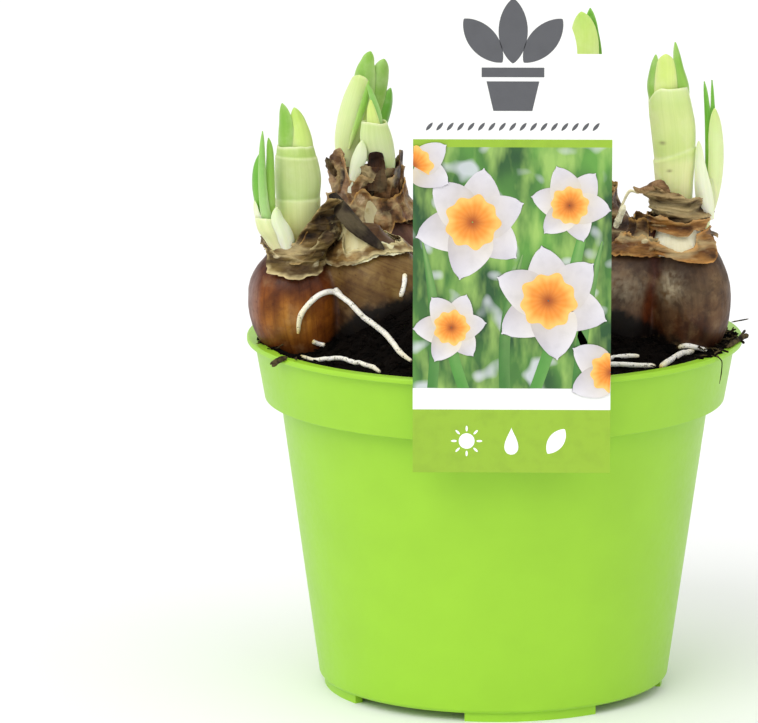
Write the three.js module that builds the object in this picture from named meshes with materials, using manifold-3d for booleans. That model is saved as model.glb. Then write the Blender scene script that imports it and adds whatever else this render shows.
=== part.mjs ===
// A pot of narcissus bulbs coming into growth, with a label card hooked over its rim.
// Millimetres, +Z up. The origin is on the pot's axis at the ground, and the front is -Y.
import * as THREE from 'three';
import { mergeVertices } from 'three/addons/utils/BufferGeometryUtils.js';
import Module from 'manifold-3d';

const wasm = await Module();
wasm.setup();

// Clearance between pieces that touch, and how much a cutter grows to leave at least that
const GAP = 0.3;
const CUTTER_GROWTH = 0.65;
const SIMPLIFIED_BY = 0.18;

// Pot: a thin moulded cone with a wide collar, a lip and a foot in four arcs
const POT_HEIGHT = 108;
const RIM_RADIUS = 75;
const RIM_INNER_RADIUS = 71.2;
const LIP_HEIGHT = 1.6;
const COLLAR_BOTTOM = 88.9;
const COLLAR_BOTTOM_RADIUS = 69.6;
const COLLAR_TOP_RADIUS = 72.7;
const SHOULDER_RADIUS = 64.9;
const BASE_RADIUS = 53.2;
const WALL = 1.25;
const FOOT_HEIGHT = 2.8;
const FOOT_OUTER_RADIUS = 51.6;
const FOOT_WIDTH = 2.6;
const FOOT_GAPS = 4;
const FOOT_GAP_ANGLE = 44;
const FIRST_FOOT_GAP = 35.5;
const DRAIN_HOLES = 8;
const DRAIN_RADIUS = 1.8;
const DRAIN_CIRCLE = 36;
const POT_SIDES = 40;

// Soil: level with the rim at the wall and heaped up between the bulbs
const SOIL_EDGE_HEIGHT = 106.2;
const SOIL_RINGS = 6;
const SOIL_SIDES = 26;

// Label card: a flat plastic card with a round head, and a tongue that hooks over the rim
const CARD_LEFT = -23.7;
const CARD_RIGHT = 33.7;
const CARD_BOTTOM = 81.5;
const CARD_SHOULDER = 204.5;
const CARD_HEAD_RADIUS = 18.4;
const CARD_THICKNESS = 0.7;
const TONGUE_WIDTH = 14;
const TONGUE_THICKNESS = 0.8;
const TONGUE_FOOT = 92.5;

// How far a papery skin's outside stands off its bulb, and how much slimmer the neck is under it
const SKIN = 1.4;
const NECK_INSET = 0.9;

// Bulbs: every lobe stands on one level, deep enough for the soil to hold it
const BULB_FOOT = 94;
const FOOT_PLATE_RADIUS = 4;

// The point that the roots' positions are sighted from, and the upright plane they are read on
const VIEWPOINT = new THREE.Vector3(0, -1762, 454);
const SIGHT_PLANE = -75;

const { clamp, lerp, degToRad } = THREE.MathUtils;

const COLOURS = {
  pot: ['#a8de3a', 0.42],
  soil: ['#1e1611', 0.95],
  amberBulb: ['#9c5a24', 0.45],
  brownBulb: ['#5b3320', 0.45],
  tunic: ['#7a5a3a', 0.8],
  dryScale: ['#4a3c34', 0.8],
  sheath: ['#cfdf96', 0.5],
  leaf: ['#86bd45', 0.5],
  root: ['#ece6d2', 0.6],
  card: ['#f7f8f4', 0.35],
};

function material(name) {
  const [color, roughness] = COLOURS[name];
  return new THREE.MeshStandardMaterial({ color, roughness, metalness: 0 });
}

// Merges doubled corners and drops faces that have lost their area
function welded(geometry) {
  const bare = geometry.clone();
  bare.deleteAttribute('normal');
  bare.deleteAttribute('uv');
  const merged = mergeVertices(bare, 1e-4);
  const corners = merged.index.array;
  const kept = [];
  for (let i = 0; i < corners.length; i += 3) {
    const [a, b, c] = [corners[i], corners[i + 1], corners[i + 2]];
    if (a !== b && b !== c && c !== a) kept.push(a, b, c);
  }
  merged.setIndex(kept);
  return merged;
}

function signedVolume(geometry) {
  const point = geometry.attributes.position;
  const corners = geometry.index.array;
  const [a, b, c] = [new THREE.Vector3(), new THREE.Vector3(), new THREE.Vector3()];
  let volume = 0;
  for (let i = 0; i < corners.length; i += 3) {
    a.fromBufferAttribute(point, corners[i]);
    b.fromBufferAttribute(point, corners[i + 1]);
    c.fromBufferAttribute(point, corners[i + 2]);
    volume += a.dot(b.cross(c)) / 6;
  }
  return volume;
}

// Turns a closed shape's faces outwards
function outward(geometry) {
  const shape = welded(geometry);
  if (signedVolume(shape) < 0) {
    const corners = Array.from(shape.index.array);
    shape.setIndex(corners.reverse());
  }
  return shape;
}

// The same shape with its skin moved out along its normals
function grown(shape, distance) {
  const copy = shape.clone();
  copy.computeVertexNormals();
  const point = copy.attributes.position;
  const normal = copy.attributes.normal;
  for (let i = 0; i < point.count; i += 1) {
    point.setXYZ(
      i,
      point.getX(i) + normal.getX(i) * distance,
      point.getY(i) + normal.getY(i) * distance,
      point.getZ(i) + normal.getZ(i) * distance,
    );
  }
  copy.deleteAttribute('normal');
  return copy;
}

function solidOf(shape) {
  return new wasm.Manifold(new wasm.Mesh({
    numProp: 3,
    vertProperties: new Float32Array(shape.attributes.position.array),
    triVerts: new Uint32Array(shape.index.array),
  }));
}

function joined(shapes) {
  return shapes.map(solidOf).reduce((all, solid) => all.add(solid));
}

// A cutter that clears a piece made of these shapes
function cutter(shapes) {
  return joined(shapes.map((shape) => grown(shape, CUTTER_GROWTH)));
}

// The largest body of a solid, so that scraps left by a cut are dropped
function largest(solid) {
  const bodies = solid.simplify(SIMPLIFIED_BY).decompose();
  return bodies.reduce((best, body) => (body.volume() > best.volume() ? body : best));
}

function geometryOf(solid) {
  const mesh = solid.getMesh();
  const geometry = new THREE.BufferGeometry();
  geometry.setAttribute('position', new THREE.Float32BufferAttribute(mesh.vertProperties, 3));
  geometry.setIndex(Array.from(mesh.triVerts));
  return geometry;
}

// Closes a stack of rings into one body; a ring's two halves face each other across its ends
function loft(rings) {
  const count = rings[0].length;
  const faces = [];
  for (let level = 0; level < rings.length - 1; level += 1) {
    for (let side = 0; side < count; side += 1) {
      const next = (side + 1) % count;
      const [a, b] = [level * count + side, level * count + next];
      faces.push(a, b, b + count, a, b + count, a + count);
    }
  }
  const last = (rings.length - 1) * count;
  for (let k = 0; k < count / 2 - 1; k += 1) {
    const [a, b, c, d] = [k, k + 1, count - 2 - k, count - 1 - k];
    faces.push(a, c, b, a, d, c);
    faces.push(last + a, last + b, last + c, last + a, last + c, last + d);
  }
  const points = rings.flat().flatMap((point) => point.toArray());
  const geometry = new THREE.BufferGeometry();
  geometry.setAttribute('position', new THREE.Float32BufferAttribute(points, 3));
  geometry.setIndex(faces);
  return outward(geometry);
}

function catmullRom(a, b, c, d, t) {
  const cubic = -a + 3 * b - 3 * c + d;
  const square = 2 * a - 5 * b + 4 * c - d;
  return 0.5 * (2 * b + (c - a) * t + square * t * t + cubic * t * t * t);
}

// Rows of numbers read smoothly between hand-set stations
function smooth(stations, steps) {
  const end = stations.length - 1;
  const rows = [];
  for (let step = 0; step <= steps; step += 1) {
    const place = (step / steps) * end;
    const index = Math.min(Math.floor(place), end - 1);
    const row = stations[0].map((_, column) => {
      const at = (i) => stations[clamp(i, 0, end)][column];
      return catmullRom(at(index - 1), at(index), at(index + 1), at(index + 2), place - index);
    });
    rows.push(row);
  }
  return rows;
}

// An upright sheath or bud. Stations: x, y, height, half width, half depth
function stalk(stations, { steps = 6, sides = 10, slant = 0 } = {}) {
  const rows = smooth(stations, steps);
  const rings = rows.map(([x, y, z, halfWidth, halfDepth], level) => {
    const tilt = slant * (level / steps) ** 4;
    const ring = [];
    for (let side = 0; side < sides; side += 1) {
      const angle = ((side + 0.5) / sides) * 2 * Math.PI;
      const reach = halfWidth * Math.cos(angle);
      ring.push(new THREE.Vector3(x + reach, y + halfDepth * Math.sin(angle), z + tilt * reach));
    }
    return ring;
  });
  return loft(rings);
}

// A leaf or flap: a curved strip. Stations: x, y, height, half width; face is the outer side
function blade(stations, { face = 0, thick = 1.4, cup = 0.35, steps = 4, columns = 3 } = {}) {
  const rows = smooth(stations, steps);
  const widest = Math.max(...rows.map((row) => row[3]));
  const outer = new THREE.Vector3(Math.sin(degToRad(face)), -Math.cos(degToRad(face)), 0);
  const middle = rows.map(([x, y, z]) => new THREE.Vector3(x, y, z));
  const rings = rows.map((row, level) => {
    const halfWidth = Math.max(row[3], 0.3);
    const before = middle[Math.max(level - 1, 0)];
    const after = middle[Math.min(level + 1, steps)];
    const along = after.clone().sub(before).normalize();
    const across = along.clone().cross(outer).normalize();
    const normal = across.clone().cross(along).normalize();
    const body = Math.max(0.6, thick * (0.4 + 0.6 * (halfWidth / widest)));
    const ring = [];
    for (let k = 0; k < 2 * columns; k += 1) {
      const inner = k >= columns;
      const column = inner ? 2 * columns - 1 - k : k;
      const s = (2 * column) / (columns - 1) - 1;
      const halfThick = Math.max(0.3, (body / 2) * (1 - 0.5 * s * s));
      const bend = -cup * halfWidth * s * s;
      const point = middle[level].clone().addScaledVector(across, s * halfWidth);
      ring.push(point.addScaledVector(normal, bend + (inner ? -halfThick : halfThick)));
    }
    return ring;
  });
  return loft(rings);
}

function lathe(profile, sides) {
  const points = profile.map(([radius, height]) => new THREE.Vector2(radius, height));
  return outward(new THREE.LatheGeometry(points, sides).rotateX(Math.PI / 2));
}

function potShape() {
  const top = POT_HEIGHT;
  const lipFoot = top - LIP_HEIGHT;
  const floor = FOOT_HEIGHT + WALL;
  const footInner = FOOT_OUTER_RADIUS - FOOT_WIDTH;
  return lathe([
    [0, FOOT_HEIGHT],
    [footInner, FOOT_HEIGHT],
    [footInner, 0],
    [FOOT_OUTER_RADIUS, 0],
    [BASE_RADIUS, FOOT_HEIGHT + 0.6],
    [SHOULDER_RADIUS, COLLAR_BOTTOM],
    [COLLAR_BOTTOM_RADIUS, COLLAR_BOTTOM],
    [COLLAR_TOP_RADIUS, lipFoot - 0.2],
    [RIM_RADIUS, lipFoot],
    [RIM_RADIUS, top - 0.5],
    [RIM_RADIUS - 0.6, top],
    [RIM_INNER_RADIUS, top],
    [COLLAR_BOTTOM_RADIUS - WALL, COLLAR_BOTTOM + WALL],
    [SHOULDER_RADIUS - WALL, COLLAR_BOTTOM + WALL],
    [BASE_RADIUS - WALL, floor],
    [0, floor],
  ], POT_SIDES);
}

// A block that takes one gap out of the foot, with ends that slope like the real ones
function footGapShape(middleAngle) {
  const [inner, outer] = [FOOT_OUTER_RADIUS - FOOT_WIDTH - 1.5, FOOT_OUTER_RADIUS + 1.2];
  const columns = 6;
  const level = (z, halfAngle) => {
    const ring = [];
    for (let k = 0; k < 2 * columns; k += 1) {
      const far = k >= columns;
      const column = far ? 2 * columns - 1 - k : k;
      const angle = degToRad(middleAngle + halfAngle * ((2 * column) / (columns - 1) - 1));
      const radius = far ? outer : inner;
      ring.push(new THREE.Vector3(radius * Math.sin(angle), -radius * Math.cos(angle), z));
    }
    return ring;
  };
  const half = FOOT_GAP_ANGLE / 2;
  return loft([level(-1, half + 1.5), level(FOOT_HEIGHT - 0.2, half - 1)]);
}

function drainShape(angle) {
  const hole = new THREE.CylinderGeometry(DRAIN_RADIUS, DRAIN_RADIUS, 6, 6);
  hole.rotateX(Math.PI / 2);
  hole.translate(DRAIN_CIRCLE * Math.cos(angle), DRAIN_CIRCLE * Math.sin(angle), FOOT_HEIGHT);
  return outward(hole);
}

function makePot() {
  let solid = solidOf(potShape());
  for (let i = 0; i < FOOT_GAPS; i += 1) {
    solid = solid.subtract(solidOf(footGapShape(FIRST_FOOT_GAP + (i * 360) / FOOT_GAPS)));
  }
  for (let i = 0; i < DRAIN_HOLES; i += 1) {
    solid = solid.subtract(solidOf(drainShape((i * 2 * Math.PI) / DRAIN_HOLES)));
  }
  return solid;
}

// Each lobe: its foot, its widest level with its radii, and the neck that it narrows to
const BULBS = {
  a: [
    { foot: [-54, -13], belly: [-60, -14, 120], radii: [14.4, 14.2], top: [-60.5, -14.5, 138.5], neck: 7.4 },
    {
      foot: [-36.5, -14], belly: [-33.7, -14, 121], radii: [16.3, 13.8], top: [-39.5, -12, 143.5], neck: 6.2,
      shoulder: 2,
    },
  ],
  b: [
    { foot: [-37, 25], belly: [-36, 26, 121], radii: [18, 16.5], top: [-40, 24, 150], neck: 8.2 },
    { foot: [-21, 32], belly: [-19, 35, 115], radii: [12, 12], top: [-27, 30, 139], neck: 4 },
  ],
  c: [
    { foot: [27, 29], belly: [27, 31, 121], radii: [17, 16], top: [28.6, 30, 147], neck: 6.8 },
    { foot: [12, 37], belly: [8, 40, 115], radii: [12, 12], top: [15, 37, 140], neck: 4.4 },
  ],
  d: [
    {
      foot: [53.5, -11.5], belly: [58.6, -13, 119.5], radii: [12.5, 13.4], top: [55.2, -12, 147], neck: 5.6,
      shoulder: 1.35,
    },
    { foot: [37, -13], belly: [35.5, -13, 119], radii: [12.8, 13.8], top: [46, -12, 145], neck: 4.6 },
  ],
};

// A lobe's middle and radii at a height; it goes on straight above its neck
function lobeAt({ foot, belly, radii, top, neck, shoulder = 1.6 }, z) {
  if (z < belly[2]) {
    const down = clamp((belly[2] - z) / (belly[2] - BULB_FOOT), 0, 1);
    const shrink = Math.sqrt(1 - down ** 1.8);
    const lean = down ** 1.6;
    return {
      x: lerp(belly[0], foot[0], lean),
      y: lerp(belly[1], foot[1], lean),
      rx: Math.max(radii[0] * shrink, FOOT_PLATE_RADIUS),
      ry: Math.max(radii[1] * shrink, FOOT_PLATE_RADIUS),
    };
  }
  const up = Math.min((z - belly[2]) / (top[2] - belly[2]), 1);
  const narrowing = (1 - Math.cos(Math.PI * up ** shoulder)) / 2;
  const lean = up * up * (3 - 2 * up);
  return {
    x: lerp(belly[0], top[0], lean),
    y: lerp(belly[1], top[1], lean),
    rx: lerp(radii[0], neck, narrowing),
    ry: lerp(radii[1], neck, narrowing),
  };
}

function lobeShape(lobe) {
  const below = [0, 0.2, 0.6].map((t) => lerp(BULB_FOOT, lobe.belly[2], t));
  const above = [0, 0.35, 0.6, 0.8, 1].map((t) => lerp(lobe.belly[2], lobe.top[2], t));
  const sides = 16;
  const rings = [...below, ...above].map((z) => {
    const { x, y, rx, ry } = lobeAt(lobe, z);
    const inset = z > lerp(lobe.belly[2], lobe.top[2], 0.5) ? NECK_INSET : 0;
    const ring = [];
    for (let side = 0; side < sides; side += 1) {
      const angle = ((side + 0.5) / sides) * 2 * Math.PI;
      const [reachX, reachY] = [(rx - inset) * Math.cos(angle), (ry - inset) * Math.sin(angle)];
      ring.push(new THREE.Vector3(x + reachX, y + reachY, z));
    }
    return ring;
  });
  return loft(rings);
}

// Sheaths: upright wrappers and the split flaps that are part of them
const SHEATHS = {
  a1: [
    stalk([
      [-58.4, -11.5, 133, 4.4, 4.4], [-58.8, -11.5, 142, 6.2, 6.0], [-59.1, -11.3, 151, 6.8, 6.6],
      [-59.1, -11, 157.5, 7.2, 6.8], [-59.6, -11, 163.8, 6.5, 6.3], [-59.9, -11, 167.2, 5.9, 5.8],
    ]),
  ],
  a2: [
    stalk([
      [-62, -18.5, 131, 3.0, 3.0], [-64.2, -20, 139, 4.0, 3.6], [-66.6, -21, 143, 4.1, 3.8],
      [-68.1, -21.3, 147, 3.6, 3.3],
    ], { steps: 4, sides: 8 }),
    blade([
      [-62, -22.2, 135, 1.7], [-62.1, -23.4, 139.5, 2.7], [-63.2, -24.3, 143, 2.8],
      [-64.7, -24.8, 147, 1.9], [-65, -24.6, 150.8, 0.3],
    ], { face: 12, thick: 1.2 }),
    blade([
      [-65, -20, 137, 2.2], [-69.2, -20.6, 143, 2.4], [-71.3, -20.8, 148, 1.7], [-71.7, -20.8, 152, 0.3],
    ], { face: -65, thick: 1.2 }),
  ],
  b1: [
    stalk([
      [-43.4, 27, 145, 4, 4], [-44.6, 27.4, 152, 4.6, 4.8], [-44.9, 27.8, 159, 4.3, 4.9],
    ], { steps: 4 }),
    blade([
      [-44.8, 24.6, 152, 3.6], [-46.2, 24.2, 161, 3.9], [-45.4, 24.2, 168, 4.1], [-43.6, 24.6, 175, 4.0],
      [-41.9, 25.2, 181, 2.9], [-41.5, 25.4, 183, 1.9],
    ], { face: -22, thick: 1.5, cup: 0.5, steps: 6, columns: 4 }),
    blade([
      [-46.5, 29, 152, 3.4], [-47.3, 29.2, 161, 3.8], [-46.2, 29.4, 170, 3.4], [-44, 29.6, 178, 1.6],
    ], { face: -110, thick: 1.4, cup: 0.4 }),
  ],
  b2: [
    stalk([
      [-34.6, 18.5, 143, 3.2, 3.2], [-34.8, 18.5, 152, 4.2, 4.2], [-35.2, 18.2, 158, 4.7, 4.6],
      [-36.1, 18, 164, 5.0, 4.6], [-36.8, 18, 169.6, 3.9, 4.0],
    ], { sides: 8, steps: 5 }),
  ],
  b3: [
    blade([
      [-43.6, 14.8, 149.5, 0.9], [-42.2, 13.9, 153.6, 2.0], [-41.2, 13.5, 157, 2.3],
      [-40.6, 13.6, 160.5, 1.3], [-40.7, 14.4, 164, 0.7], [-40.9, 15, 168.4, 0.3],
    ], { face: -10, thick: 1.4, cup: 0.2, steps: 5 }),
  ],
  c1: [
    stalk([
      [28.9, 29.5, 140, 4.6, 4.6], [28.8, 29.8, 150, 5.6, 5.4], [28.5, 30, 162, 6.5, 6.1],
      [28.1, 30, 175, 6.2, 5.9], [27.8, 30, 185, 5.3, 5.2],
    ]),
  ],
  c2: [
    stalk([
      [15.6, 37, 134, 3.4, 3.4], [14.4, 37.6, 144, 4.6, 4.5], [13.4, 38, 154, 4.9, 4.7],
      [13, 38.2, 162, 4.0, 3.9],
    ], { steps: 4, sides: 8 }),
  ],
  d1: [
    stalk([
      [54.3, -12, 141, 4.4, 4.4], [53.8, -12, 150, 5.2, 5.3], [53.5, -12, 158, 5.8, 5.8],
      [53.5, -12, 165, 6.5, 6.2], [53.1, -12, 173, 7.0, 6.6], [52.3, -12, 179, 6.8, 6.3],
      [51.7, -12, 183.2, 6.3, 5.8],
    ], { slant: 0.3 }),
  ],
  d2: [
    stalk([
      [63, -12.5, 140, 2.6, 2.8], [64, -12.6, 146, 2.4, 2.8], [64.4, -12.4, 152, 2.3, 3.0],
      [64.6, -12, 158, 2.0, 2.8],
    ], { steps: 3, sides: 8 }),
    blade([
      [63.6, -14.6, 145.5, 1.9], [62.8, -15.6, 150, 2.6], [62, -16.2, 155, 2.6], [61.3, -16.2, 160, 2.0],
      [60.8, -16, 165, 1.3], [60.6, -15.6, 169.6, 0.4],
    ], { face: -12, thick: 1.2, cup: 0.25 }),
    blade([
      [63.9, -13.6, 146, 1.1], [65, -13.9, 151.4, 1.8], [65.8, -14.2, 158, 2.3], [66.1, -14.2, 165, 2.4],
      [65.8, -14, 172.4, 2.1], [65.3, -13.8, 179.2, 0.4],
    ], { face: 16, thick: 1.4, cup: 0.3 }),
  ],
};

// Leaf bundles: the bud in the middle and the leaves that press round it
const LEAVES = {
  a1: [
    stalk([
      [-59.5, -11, 156, 3.2, 3.0], [-59.6, -11, 163, 3.6, 3.4], [-59.9, -11, 171, 2.5, 2.2],
      [-60.2, -11, 175.5, 0.6, 0.6],
    ], { steps: 4, sides: 8 }),
    blade([
      [-61.4, -12.8, 157, 2.1], [-62.3, -13.1, 163, 2.5], [-62.8, -13.4, 168, 2.9],
      [-62.9, -13.3, 174.5, 2.3], [-63.7, -13, 180.2, 0.3],
    ], { face: -28, thick: 1.4, cup: 0.3 }),
    blade([
      [-57.4, -13.6, 157, 2.6], [-57.2, -14, 163, 3.1], [-57.3, -13.9, 168, 3.5], [-58.5, -13.3, 174, 2.5],
      [-60.1, -12.8, 178.9, 0.3],
    ], { face: 22, thick: 1.7, cup: 0.4 }),
    blade([
      [-59.6, -8.6, 157, 3.0], [-59.7, -8.2, 163, 3.8], [-59.8, -8, 168, 3.9], [-60, -8.8, 177.4, 0.3],
    ], { face: 178, thick: 1.6, cup: 0.45 }),
  ],
  a2: [
    blade([
      [-64.4, -19.6, 138, 2.2], [-69, -19.4, 146, 2.7], [-71.1, -19.2, 154, 3.1], [-71.3, -19.2, 160.5, 2.5],
      [-70.2, -19.4, 165.8, 0.3],
    ], { face: -54, thick: 1.5, cup: 0.3 }),
    blade([
      [-64.3, -21.4, 138, 1.9], [-68, -22.6, 147, 1.6], [-69.2, -22.8, 156, 1.3], [-69.4, -22.4, 165, 1.0],
      [-69.2, -22, 173.2, 0.3],
    ], { face: -4, thick: 1.6, cup: 0.2 }),
    blade([
      [-63.9, -20, 138, 2.2], [-66.6, -20.8, 147, 1.7], [-67, -20.8, 156, 1.5], [-67, -20.4, 166, 1.1],
      [-67.5, -20.2, 170.9, 0.3],
    ], { face: 14, thick: 1.7, cup: 0.2 }),
  ],
  b1: [
    stalk([
      [-43.4, 28, 155, 2.8, 2.6], [-42, 28.2, 164, 3.4, 3.0], [-39.6, 28.4, 176, 2.2, 2.0],
      [-38.8, 28.4, 181, 0.6, 0.6],
    ], { steps: 4, sides: 8 }),
    blade([
      [-43.2, 27.2, 156, 2.0], [-42.2, 27.2, 164, 2.9], [-40.8, 27.4, 175, 3.5], [-40, 27.6, 182.5, 3.3],
      [-39.1, 27.8, 186.8, 2.1], [-38.1, 27.8, 189.9, 0.4],
    ], { face: -12, thick: 1.5, cup: 0.3 }),
    blade([
      [-41.8, 28, 156, 2.2], [-39.4, 28.4, 165, 3.2], [-36.6, 28.8, 176, 3.3], [-35, 29, 183, 2.7],
      [-34, 29.2, 187.4, 0.4],
    ], { face: 14, thick: 1.6, cup: 0.3 }),
    blade([
      [-40.2, 30, 156, 2.0], [-36.3, 30.8, 163, 2.7], [-33.4, 31.2, 171.6, 2.7], [-32.1, 31.4, 178.1, 0.4],
    ], { face: 40, thick: 1.4, cup: 0.3 }),
    blade([
      [-42.6, 31, 156, 2.6], [-41, 32, 164, 3.4], [-39, 32, 175, 3.0], [-37.4, 31.4, 184.5, 0.3],
    ], { face: 168, thick: 1.5, cup: 0.4 }),
  ],
  b2: [
    stalk([
      [-36.1, 18, 161, 2.6, 2.4], [-36.8, 17.9, 167.5, 2.2, 2.2], [-37.6, 17.8, 173, 1.4, 1.3],
      [-37.9, 17.8, 176.4, 0.35, 0.35],
    ], { steps: 4, sides: 8 }),
    blade([
      [-35.6, 18.4, 162, 1.1], [-35.3, 18.8, 167, 1.2], [-36, 19.8, 172, 1.3], [-37.8, 21, 178, 0.8],
      [-39, 21.4, 180.8, 0.3],
    ], { face: 8, thick: 1.2, cup: 0.2 }),
  ],
  c1: [
    stalk([
      [28, 30, 175, 3.0, 2.8], [27.9, 30, 183, 3.6, 3.3], [27.6, 30, 193, 2.3, 2.0],
      [27.4, 30, 197.5, 0.6, 0.6],
    ], { steps: 4, sides: 8 }),
    blade([
      [27.8, 27.8, 176, 3.2], [27.4, 27.2, 183, 4.1], [26.9, 27.2, 189, 4.5], [26.7, 27.8, 196, 3.9],
      [26, 28.4, 202.2, 0.3],
    ], { face: -6, thick: 1.5, cup: 0.4, steps: 6, columns: 4 }),
    blade([
      [28.6, 32, 176, 3.0], [28.9, 32.6, 183, 3.7], [29.4, 33, 189, 3.6], [29.4, 32.6, 196, 2.2],
      [28.8, 32, 202.8, 0.3],
    ], { face: 164, thick: 1.5, cup: 0.4 }),
  ],
  c2: [
    stalk([
      [13.3, 38, 154, 2.2, 2.2], [13.1, 38.1, 160, 2.2, 2.2], [13, 38.2, 166, 1.6, 1.6],
      [13, 38.2, 169, 0.5, 0.5],
    ], { steps: 4, sides: 8 }),
    blade([
      [14.5, 36.9, 155, 1.7], [14.5, 36.7, 161, 2.0], [14.2, 36.8, 166, 1.9], [13.8, 37, 172.4, 0.3],
    ], { face: 38, thick: 1.4, cup: 0.35 }),
    blade([
      [12.4, 39.4, 155, 1.8], [12.1, 39.8, 161, 2.1], [12, 40.2, 167, 1.9], [12.4, 39.8, 174.6, 0.3],
    ], { face: 205, thick: 1.4, cup: 0.35 }),
  ],
  d1: [
    stalk([
      [52.4, -12, 173, 3.4, 3.2], [51.7, -12, 182, 3.7, 3.4], [51, -12.2, 190, 2.5, 2.2],
      [50.6, -12.3, 194, 0.6, 0.6],
    ], { steps: 4, sides: 8 }),
    blade([
      [49.3, -12.3, 174, 2.3], [47.6, -12.5, 179.5, 2.7], [46.5, -12.8, 185, 3.0], [46.8, -13, 190.5, 1.9],
      [47.7, -13, 195.2, 0.3],
    ], { face: -50, thick: 1.5, cup: 0.35 }),
    blade([
      [51.9, -14.8, 174, 3.1], [51.1, -15, 181, 3.6], [50.8, -15.2, 186, 3.7], [50.7, -14.8, 192.4, 2.8],
      [50.6, -14.4, 195.6, 0.5],
    ], { face: 2, thick: 1.6, cup: 0.4 }),
    blade([
      [55.7, -12.5, 174, 2.2], [56.1, -12.7, 180, 2.6], [56.1, -12.9, 185, 2.8], [54.9, -13.2, 191, 1.8],
      [53.4, -13.4, 199, 0.3],
    ], { face: 38, thick: 1.5, cup: 0.35 }),
    blade([
      [52.4, -9.4, 174, 3.0], [51.9, -8.9, 180, 3.4], [51.6, -8.6, 186, 3.2], [51.2, -9.4, 193.6, 0.3],
    ], { face: 180, thick: 1.5, cup: 0.45 }),
  ],
  d2: [
    blade([
      [64.2, -11.8, 150, 1.3], [64, -11.6, 162, 1.4], [63.6, -11.6, 173, 1.2], [62.9, -11.8, 181, 0.8],
      [62.2, -12, 187, 0.3],
    ], { face: -20, thick: 1.6, cup: 0.2 }),
    blade([
      [64.6, -11.6, 150, 1.3], [64.9, -11.4, 162, 1.3], [65, -11.4, 173, 1.1], [64.8, -11.6, 181, 0.6],
      [64.5, -11.8, 187.4, 0.3],
    ], { face: 18, thick: 1.6, cup: 0.2 }),
  ],
};

// A height that varies round an axis: a base and some smooth peaks, each angle, rise, spread
function around(base, peaks) {
  return (angle) => {
    const degrees = (angle * 180) / Math.PI;
    return peaks.reduce((height, [middle, rise, spread]) => {
      const off = ((((degrees - middle) % 360) + 540) % 360) - 180;
      return height + rise * Math.exp(-((off / spread) ** 2));
    }, base);
  };
}

// Torn papery skins round the necks: a collar on one or both lobes, and loose flaps.
// Angles go round from +X, so -90 is the front. Skirt and rim are a collar's lower and upper edge.
const TUNICS = {
  a: {
    collars: [
      {
        throat: [11.6, 10.4],
        shift: [2.3, 0],
        skirt: around(133, [[-95, -3, 45], [178, 3, 35], [90, -3, 40], [-20, 2, 30]]),
        rim: around(138.6, [[-26, 12, 33], [20, 11, 30], [70, 4, 30], [165, 1.5, 30]]),
      },
      {
        throat: [7, 7],
        skirt: around(134.5, [[-130, -2, 40], [0, 1.5, 40], [90, -1, 40]]),
        rim: around(144, [[180, 3, 50], [0, -1, 50]]),
      },
    ],
    flaps: [],
  },
  b: {
    collars: [{
      throat: [9.8, 9.8],
      skirt: around(136, [[-100, -4, 35], [-25, 3.5, 35], [90, -3, 50]]),
      rim: around(151.5, [[190, 7, 24], [-12, 7.5, 18], [70, 4, 30], [-75, -1.5, 25]]),
    }],
    flaps: [blade([
      [-47.6, 18.4, 148, 2.2], [-48.8, 17.4, 153, 2.6], [-48.4, 17, 157.5, 2.8], [-47.2, 17, 161.8, 0.9],
    ], { face: -20, thick: 1.1, cup: 0.3, steps: 4 })],
  },
  c: {
    collars: [{
      throat: [8.8, 8.6],
      skirt: around(133, [[-90, -3, 40], [90, -3, 50]]),
      rim: around(147.5, [[200, 5, 24], [60, 4, 20], [-30, 2.5, 24]]),
    }],
    flaps: [],
  },
  d: {
    collars: [
      {
        throat: [9.4, 9.4],
        skirt: around(132.2, [[-90, -1, 40], [90, -2, 40]]),
        rim: around(149, [[185, 7, 26], [-70, 3, 28], [90, 3, 30]]),
      },
      {
        throat: [5.4, 6.4],
        skirt: around(131.4, [[-90, -1, 40], [180, 1.5, 30], [90, -2, 40]]),
        rim: around(145.5, [[180, 1, 40], [0, 3, 50]]),
      },
    ],
    flaps: [blade([
      [49.4, -14.6, 152.6, 1.9], [46.8, -15, 155.2, 1.7], [43.8, -15.2, 156.2, 1.0],
      [41.2, -15.3, 156.4, 0.5],
    ], { face: 0, thick: 1.1, cup: 0.2, steps: 4 })],
  },
};

// A crumpled skin that hugs a lobe's shoulders and opens into a throat with an uneven rim
function collarShape(lobe, { throat, skirt, rim, shift = [0, 0] }) {
  const sides = 18;
  const angles = Array.from({ length: sides }, (_, side) => ((side + 0.5) / sides) * 2 * Math.PI);
  // One ring, t of the way up and this far out from the skin
  const ring = (t, out, drop = 0) => angles.map((angle) => {
    const z = lerp(skirt(angle), rim(angle), t) - drop;
    const { x, y, rx, ry } = lobeAt(lobe, z);
    const crumple = out + t * (0.3 + 0.3 * Math.sin(5 * angle + 2) + 0.25 * Math.sin(8 * angle));
    const open = Math.min(3 * t, 1);
    const outX = Math.max(rx + SKIN, lerp(rx + SKIN, throat[0], open)) + crumple;
    const outY = Math.max(ry + SKIN, lerp(ry + SKIN, throat[1], open)) + crumple;
    const [middleX, middleY] = [x + open * shift[0], y + open * shift[1]];
    return new THREE.Vector3(middleX + outX * Math.cos(angle), middleY + outY * Math.sin(angle), z);
  });
  return loft([
    ring(0, -3, 0.4), ring(0, 0), ring(0.2, 0), ring(0.45, 0), ring(0.75, 0), ring(1, 0), ring(1, -2.4, 2),
  ]);
}

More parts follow.
